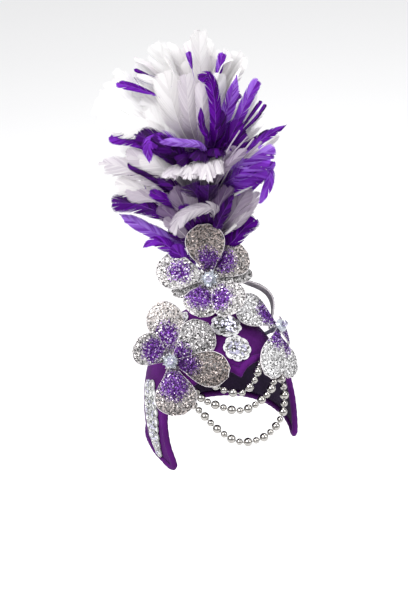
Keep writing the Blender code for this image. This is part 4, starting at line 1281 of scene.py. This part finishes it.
def petal_surface(row):
    """A function from shares along and across a petal to a point of its middle face, the way out and its area."""
    name, around, pitch, length, width, bow, roll, seat = row[:8]
    centre, facing = flower_frame(name.rsplit("_", 2)[0])
    along = heading(around, pitch)
    normal = (facing - along * facing.dot(along)).normalized()
    normal = Matrix.Rotation(math.radians(roll), 3, along) @ normal
    across = along.cross(normal).normalized()
    lean = along.dot(facing)
    root = (NECK_RADIUS + GAP + PETAL_THICKNESS / 2 * abs(lean)) / math.sqrt(1 - lean**2)
    start = centre - facing * seat
    seed = sum(ord(c) for c in name) * 0.37

    def at(share, side):
        half = float(spline(PETAL_OUTLINE, share)) * width / 2
        if share > 0.9:
            half = min(half, width / 2 * 0.70 * math.sqrt(max(0.0, 1 - ((share - 0.9) / 0.1) ** 2 * 0.86)))
        wave = 0.0006 * math.sin(seed + share * 9.0 + side * 2.0) * side**2 * share
        crease = 0.0010 * math.exp(-(side / 0.10) ** 2) * (1 - share) ** 1.5
        sink = -PETAL_CUP * half * side**2 + wave - crease
        return (
            start + along * (root + (length - root) * share) + normal * (bow * math.sin(math.pi * share) + sink)
            + across * (half * side)
        )

    return at, normal, petal_area(length - root, width)


def petal_area(length, width):
    shares = np.linspace(0, 1, 40)
    return float(np.trapz(spline(PETAL_OUTLINE, shares), shares)) * length * width


def petal_out(at, normal, share, side):
    """The way out of a petal's upper face at a place."""
    ahead = at(min(share + 0.01, 1.0), side) - at(max(share - 0.01, 0.0), side)
    beside = at(share, min(side + 0.05, 1.0)) - at(share, max(side - 0.05, -1.0))
    out = ahead.cross(beside).normalized()
    return out if out.dot(normal) > 0 else -out


def patch_share(row, share, side):
    """How violet the petal is at a place: the patch's middle and size are shares of the petal's length."""
    along, across, size = row[8:11]
    far = math.hypot((share - along) / 0.9, (side * float(spline(PETAL_OUTLINE, share)) - across) * 0.45)
    return max(0.0, min(1.0, (size - far) / PATCH_FADE + 0.5))


def add_flakes(petal, row, at, normal, area):
    """Glitter flakes strewn over the petal's upper face."""
    warm_reflection_level, painted_light_level = row[11:]
    chance = random.Random(row[0])
    wanted = int(area * FLAKES_PER_SQUARE_METRE)
    points = []
    faces = []
    spark = []
    violet = []
    warm = []
    while len(faces) < wanted:
        share = chance.uniform(0.02, 0.995)
        side = chance.uniform(-0.97, 0.97)
        if chance.random() > float(spline(PETAL_OUTLINE, share)) + 0.05:
            continue
        point = at(share, side)
        out = petal_out(at, normal, share, side)
        tilted = shaken(out, FLAKE_TILT, chance)
        if tilted.dot(out) < 0.5:
            continue
        one, two = spun_frame(tilted, chance)
        size = FLAKE_SIZE * chance.uniform(0.7, 1.25)
        middle = point + out * (PETAL_SHEET + 0.00012 + 0.0002 * chance.random())
        faces.append(tuple(range(len(points), len(points) + FLAKE_SIDES)))
        points += [middle + way * size for way in ring_ways(one, two, FLAKE_SIDES)]
        # Painted glints: each flake gets a random brightness, in clumps, as if it caught the light or not
        clump = noise.noise(point * 560.0) * 1.5
        is_violet = chance.random() < patch_share(row, share, side) * 0.98
        # Painted light: flakes on petals painted as lit are made lighter
        lift = 0.12 * painted_light_level - 0.04 if is_violet else 0.15 + 0.6 * max(0.0, painted_light_level - 0.8)
        spark.append(min(1.0, max(0.0, chance.random() * 0.78 + lift + clump * 0.5)))
        violet.append(1.0 if is_violet else 0.0)
        warm.append(0.0 if is_violet else warm_reflection_level * (0.6 + 0.4 * share))
    spark, violet, warm = (np.repeat(values, FLAKE_SIDES) for values in (spark, violet, warm))
    petal.add(points, faces, 3, spark=spark, violet=violet, warm=warm, bright=painted_light_level)


def make_petal(mats, row):
    """A cupped sheet with a rolled rim, under its glitter."""
    name = row[0]
    at, normal, area = petal_surface(row)
    middle = []
    outs = []
    tinted = []
    for i in range(PETAL_ROWS):
        share = i / (PETAL_ROWS - 1)
        for j in range(PETAL_COLUMNS):
            side = j / (PETAL_COLUMNS - 1) * 2 - 1
            middle.append(at(share, side))
            outs.append(petal_out(at, normal, share, side))
            tinted.append(patch_share(row, share, side))
    upper = [point + out * PETAL_SHEET for point, out in zip(middle, outs)]
    lower = [point - out * PETAL_SHEET for point, out in zip(middle, outs)]
    top = grid_faces(PETAL_ROWS, PETAL_COLUMNS)
    flip = (upper[1] - upper[0]).cross(upper[PETAL_COLUMNS] - upper[0]).dot(outs[0]) < 0
    if flip:
        top = [face[::-1] for face in top]
    petal = Build()
    petal.add(upper, top, 0, bright=row[12], violet=np.array(tinted))
    petal.add(lower, [face[::-1] for face in top], 1)
    total = len(middle)
    loop = grid_loop(PETAL_ROWS, PETAL_COLUMNS)
    after = loop[1:] + loop[:1]
    for a, b in zip(loop, after):
        petal.faces.append((b, a, a + total, b + total) if flip else (a, b, b + total, a + total))
        petal.slots.append(2)
    rim = []
    for before, here, ahead in zip(loop[-1:] + loop[:-1], loop, after):
        across = (middle[ahead] - middle[before]).normalized().cross(outs[here]).normalized()
        rim += [middle[here] + way * RIM_RADIUS for way in ring_ways(outs[here] * RIM_HEIGHT, across, RIM_SIDES)]
    petal.add(rim, grid_faces(len(loop), RIM_SIDES, True, True), 2)
    add_flakes(petal, row, at, normal, area)
    obj = petal.finish(f"{name}_glitter", [mats["ground"], mats["under"], mats["rim"], mats["flake"]])
    placed(obj, "silver_glitter", name)


def polar_way(polar, around):
    """A way in a flower's own frame, from degrees off its facing and radians round it."""
    p = math.radians(polar)
    return Vector((math.sin(p) * math.cos(around), math.sin(p) * math.sin(around), math.cos(p)))


def make_tuft(mats, name):
    """Icy shards crowd round a domed crystal, on the neck and stalk that carry the petals."""
    centre, facing = flower_frame(name)
    tilt = facing.to_track_quat("Z", "Y").to_matrix()
    chance = random.Random(name)
    crown = TUFT_SIZES[name]
    build = Build()
    neck = ((STALK_RADIUS, -stalk_length(centre, tilt, name), 0.0), *NECK)
    build.add(stacked_rings(centre, *tilt.col, neck, NECK_SIDES), tube_faces(len(neck), NECK_SIDES), 0)
    for ring, (count, polar, size, reach) in enumerate(SHARDS):
        for k in range(count):
            around = math.tau * (k + 0.5 * (ring % 2) + chance.uniform(-0.5, 0.5)) / count
            way = polar_way(polar + chance.uniform(-14, 14), around)
            base = centre + tilt @ (way * (reach * 0.35) + Vector((0, 0, 0.0012)))
            far = (reach + size * chance.uniform(-0.1, 1.1)) * crown
            tip = centre + tilt @ (way * far + Vector((0, 0, 0.0008)))
            add_shard(build, base, tip, size * 0.34 * crown, chance, 0)
    for _ in range(TUFT_SEQUINS):
        around = chance.uniform(0, math.tau)
        way = tilt @ polar_way(chance.uniform(48, 88), around)
        place = centre + way * (chance.uniform(0.0052, 0.0098) * crown) + facing * 0.0008
        radius = chance.uniform(0.0007, 0.0011)
        add_sequin(build, place, way, radius, chance, 2, spark=chance.uniform(0.2, 1.0), bright=0.9)
    crystal = stacked_rings(centre, *tilt.col, CRYSTAL, CRYSTAL_FACETS)
    build.add(crystal, tube_faces(len(CRYSTAL), CRYSTAL_FACETS), 1)
    obj = build.finish(f"{name}_tuft", [mats["ice"], mats["crystal"], mats["sequin"]], smooth=False)
    placed(obj, "ice_white", f"{name}_centre")


def dome_height(x, y):
    share = 1 - (x / HALF_WIDTH) ** 2 - (y / HALF_LENGTH) ** 2
    return HALF_HEIGHT * math.sqrt(max(share, 0.0)) + WALL - HALF_HEIGHT


def stalk_length(centre, tilt, name):
    """How far a flower's stalk runs back until it meets the stem or the cap."""
    length = STALK_LEAST
    while length < STALK_MOST:
        end = centre + tilt @ Vector((0, 0, -length))
        if name == "crown_flower":
            if math.hypot(end.x - STEM_X, end.y - STEM_Y) < STEM_RADIUS + STALK_SEAT:
                break
        elif end.z < dome_height(end.x, end.y) + STALK_SEAT:
            break
        length += STALK_STEP
    return length


def add_shard(build, base, tip, radius, chance, slot):
    """A long four-sided splinter, thickest past its middle."""
    across, other = spun_frame((tip - base).normalized(), chance)
    middle = base.lerp(tip, 0.6)
    girdle = [middle + way for way in ring_ways(across * radius, other * (radius * 0.7), 4)]
    faces = []
    for k in range(4):
        j = (k + 1) % 4
        faces.append((0, 1 + j, 1 + k))
        faces.append((5, 1 + k, 1 + j))
    build.add([base, *girdle, tip], faces, slot)


def add_sequin(build, place, out, radius, chance, slot, **values):
    """A small faceted cup with a hole's dimple in its middle."""
    tilted = shaken(out, SEQUIN_TILT, chance)
    one, two = spun_frame(tilted, chance)
    rows = ((radius * 0.45, radius * 0.02, 0.0), (radius, radius * 0.26, 0.0))
    points = [place + tilted * (radius * 0.06), *stacked_rings(place, one, two, tilted, rows, TRIM_SIDES)]
    faces = []
    for k in range(1, TRIM_SIDES + 1):
        j = k % TRIM_SIDES + 1
        faces.append((0, k, j))
        faces.append((k, k + TRIM_SIDES, j + TRIM_SIDES, j))
    build.add(points, faces, slot, **values)


def add_stone(build, place, out, radius, chance, slot):
    """A round faceted stone, flat behind."""
    one, two = spun_frame(out, chance)
    rows = ((radius * 0.9, 0.0, 0.0), (radius, radius * 0.35, 0.0), (radius * 0.55, radius * 0.85, 0.5))
    build.add(stacked_rings(place, one, two, out, rows, TRIM_SIDES), tube_faces(len(rows), TRIM_SIDES), slot)


def add_boss(build, place, out, radius, height, slot):
    """A low smooth dome, padded under thread."""
    one = out.orthogonal().normalized()
    rows = [(radius * math.sin(p), height * math.cos(p), 0.0) for p in map(math.radians, (90, 66, 42, 20))]
    points = stacked_rings(place, one, out.cross(one), out, rows, BOSS_SIDES)
    build.add(points, tube_faces(len(rows), BOSS_SIDES), slot)


def add_cord(build, path, radius, slot, closed=True):
    number = len(path)
    points = []
    for k, place in enumerate(path):
        ahead = path[(k + 1) % number] if closed else path[min(k + 1, number - 1)]
        behind = path[k - 1] if closed else path[max(k - 1, 0)]
        out = normal_at(place)
        across = (ahead - behind).normalized().cross(out).normalized()
        points += [place + way * radius for way in ring_ways(out, across, CORD_SIDES)]
    faces = grid_faces(number, CORD_SIDES, True, True) if closed else tube_faces(number, CORD_SIDES)
    build.add(points, faces, slot)


def finish_lace(build, mats, name):
    looks = [mats["lace"], mats["sequin"], mats["crystal"], mats["pearl"]]
    obj = build.finish(f"{name}_sequins", looks, smooth=False)
    placed(obj, "silver_lace", name)


def make_motif(mats, name, around, down, radius, lobes):
    """A round lobed sheet of lace, edged with cord, with bosses, sequins and stones on it."""
    normal = dome_normal(around, down)
    middle = dome(around, down)
    side = normal.cross(Vector((0, 0, 1))).normalized()
    up = side.cross(normal)
    chance = random.Random(name)

    def on_dome(reach, turn, lift):
        return over_cap(middle + side * (reach * math.cos(turn)) + up * (reach * math.sin(turn)), lift)

    count = lobes * MOTIF_POINTS_PER_LOBE
    turns = [math.tau * k / count for k in range(count)]
    edge = [(radius * (0.86 + 0.15 * abs(math.sin(turn * lobes / 2)) ** 0.6), turn) for turn in turns]
    points = []
    for lift in (LACE_MIDDLE, LACE_LIFT):
        for ring in range(MOTIF_RINGS):
            share = 0.04 + 0.96 * ring / (MOTIF_RINGS - 1)
            points += [on_dome(reach * share, turn, lift) for reach, turn in edge]
    below = MOTIF_RINGS * count
    top = [face[::-1] for face in grid_faces(MOTIF_RINGS, count, False, True)]
    top.append(tuple(range(count)))
    build = Build()
    build.add(points, sheet_faces(top, list(range(below - count, below)), below), 0)
    add_cord(build, [on_dome(reach * 0.985, turn, LACE_TOP * 0.9) for reach, turn in edge], MOTIF_CORD_RADIUS, 3)
    for k in range(lobes):
        turn = math.tau * (k + 0.5) / lobes
        add_boss(build, on_dome(radius * 0.80, turn, LACE_TOP * 0.8), normal, radius * 0.185, 0.0011, 3)
        for step in (-1, 0, 1):
            place = on_dome(radius * 0.84, turn + step * 1.5 / lobes, LACE_TOP * 1.35)
            add_sequin(build, place, normal, 0.0011, chance, 1, spark=chance.uniform(0.3, 1.0), bright=1.0)
    for _ in range(MOTIF_SEQUINS):
        reach = radius * math.sqrt(chance.uniform(0.0, 0.66))
        turn = chance.uniform(0, math.tau)
        place = on_dome(reach, turn, LACE_TOP * chance.uniform(0.8, 1.5))
        size = chance.uniform(0.0009, 0.0014)
        add_sequin(build, place, normal, size, chance, 1, spark=chance.random(), bright=1.0)
    for _ in range(MOTIF_STONES):
        reach = radius * math.sqrt(chance.uniform(0.0, 0.45))
        turn = chance.uniform(0, math.tau)
        add_stone(build, on_dome(reach, turn, LACE_TOP * 1.1), normal, chance.uniform(0.0011, 0.0019), chance, 2)
    finish_lace(build, mats, name)


def make_side_lace(mats, name, side):
    """A scalloped strip of lace down a side panel, with cords, bosses, sequins and stones on it."""
    path = smooth_path([dome(side * around, down) for around, down, _ in SIDE_LACE], LACE_ROWS)
    chance = random.Random(name)
    frames = []
    for i, point in enumerate(path):
        along = (path[min(i + 1, LACE_ROWS - 1)] - path[max(i - 1, 0)]).normalized()
        normal = normal_at(point)
        place = i / (LACE_ROWS - 1) * (len(SIDE_LACE) - 1)
        k = min(int(place), len(SIDE_LACE) - 2)
        half = SIDE_LACE[k][2] + (SIDE_LACE[k + 1][2] - SIDE_LACE[k][2]) * (place - k)
        half *= 0.84 + 0.18 * abs(math.sin(i / LACE_ROWS * math.pi * LACE_SCALLOPS)) ** 0.6
        frames.append((point, normal.cross(along).normalized(), normal, half))

    def on_lace(row, share, lift):
        point, across, _, half = frames[row]
        return over_cap(point + across * (half * share), lift)

    points = []
    for lift in (LACE_MIDDLE, LACE_LIFT):
        for row in range(LACE_ROWS):
            points += [on_lace(row, j / (LACE_COLUMNS - 1) * 2 - 1, lift) for j in range(LACE_COLUMNS)]
    top = grid_faces(LACE_ROWS, LACE_COLUMNS)
    a, b, c = (points[k] for k in top[0][:3])
    if (b - a).cross(c - a).dot(frames[0][2]) < 0:
        top = [face[::-1] for face in top]
    build = Build()
    build.add(points, sheet_faces(top, grid_loop(LACE_ROWS, LACE_COLUMNS), LACE_ROWS * LACE_COLUMNS), 0)
    waves = [math.sin(row / LACE_ROWS * math.pi * LACE_SCALLOPS) for row in range(LACE_ROWS)]
    for shares in ([-0.97] * LACE_ROWS, [0.97] * LACE_ROWS, [0.62 * w for w in waves], [-0.62 * w for w in waves]):
        cord = [on_lace(row, share, LACE_TOP) for row, share in enumerate(shares)]
        add_cord(build, cord, LACE_CORD_RADIUS, 0, False)
    for k in range(LACE_SCALLOPS):
        row = min(int((k + 0.5) / LACE_SCALLOPS * LACE_ROWS), LACE_ROWS - 1)
        _, _, normal, half = frames[row]
        for share in (-0.78, 0.78):
            place = on_lace(row, share, LACE_LIFT + LACE_THICKNESS * 0.8)
            add_boss(build, place, normal, half * 0.17, 0.0009, 3)
    for _ in range(LACE_SEQUINS):
        row = min(int(chance.random() ** 0.85 * LACE_ROWS), LACE_ROWS - 1)
        share = chance.uniform(-0.9, 0.9)
        place = on_lace(row, share, LACE_LIFT + LACE_THICKNESS * chance.uniform(0.7, 1.1))
        size = chance.uniform(0.0009, 0.0015)
        add_sequin(build, place, frames[row][2], size, chance, 1, spark=chance.uniform(0.25, 1.0), bright=1.0)
    for _ in range(LACE_STONES):
        row = int(chance.random() * LACE_ROWS)
        place = on_lace(row, chance.uniform(-0.7, 0.7), LACE_TOP)
        add_stone(build, place, frames[row][2], chance.uniform(0.0010, 0.0016), chance, 2)
    finish_lace(build, mats, name)


def sewing_point(around):
    """The place under the cap's front edge where a string is sewn, at degrees round."""
    front = [spot for spot in edge_frames(SEWING_STEPS) if dome_angles(spot[0])[1] < SEWING_DOWN]
    point, _, out, up = min(front, key=lambda spot: abs(dome_angles(spot[0])[0] - around))
    return point - out * (WALL / 2) - up * GAP


def add_ball(build, centre, radius, along, slot):
    """A round bead, flat at the ends of its bore."""
    across = along.orthogonal().normalized()
    rows = []
    for i in range(BEAD_RINGS):
        polar = math.radians(BEAD_BORE + (180 - 2 * BEAD_BORE) * i / (BEAD_RINGS - 1))
        rows.append((radius * math.sin(polar), radius * math.cos(polar), 0.0))
    points = stacked_rings(centre, across, along.cross(across), along, rows, BEAD_SIDES)
    build.add(points, [face[::-1] for face in tube_faces(BEAD_RINGS, BEAD_SIDES)], slot)


def make_swag(mats, name, route):
    """A string of beads, large and small in turn, on its thread."""
    control = [dome(around, down, lift) for around, down, lift in route[1:-1]]
    fine = smooth_path([sewing_point(route[0][0]), *control, sewing_point(route[-1][0])], SWAG_STEPS)
    travelled = travelled_along(fine)
    pitch = BEAD_LARGE + BEAD_SMALL + BEAD_GAP
    lead = BEAD_SMALL + BEAD_LEAD
    strung = travelled[-1] - 2 * lead
    count = int(strung / pitch) // 2 * 2
    stretch = strung / (count * pitch)
    build = Build()
    for i in range(count + 1):
        place = lead + pitch * stretch * i
        k = min(range(len(fine)), key=lambda n: abs(travelled[n] - place))
        k = min(max(k, 1), len(fine) - 2)
        along = (fine[k + 1] - fine[k - 1]).normalized()
        radius = BEAD_LARGE if i % 2 else BEAD_SMALL
        add_ball(build, fine[k] + along * (place - travelled[k]), radius * BEAD_FULLNESS, along, 0)
    add_cord(build, fine[::3] + [fine[-1]], BEAD_THREAD, 1, False)
    obj = build.finish(f"{name}_beads", [mats["bead"], mats["thread"]])
    placed(obj, "silver_bead", name)


def main():
    make_camera()
    make_lights()
    make_floor()
    mats = make_materials()
    make_cap(mats)
    make_roll(mats)
    make_stem(mats)
    make_plume(mats)
    for row in PETALS:
        make_petal(mats, row)
    for name in FLOWERS:
        make_tuft(mats, name)
    for row in MOTIFS:
        make_motif(mats, *row)
    make_side_lace(mats, "side_lace_right", -1)
    make_side_lace(mats, "side_lace_left", 1)
    for name, route in SWAGS.items():
        make_swag(mats, name, route)


main()
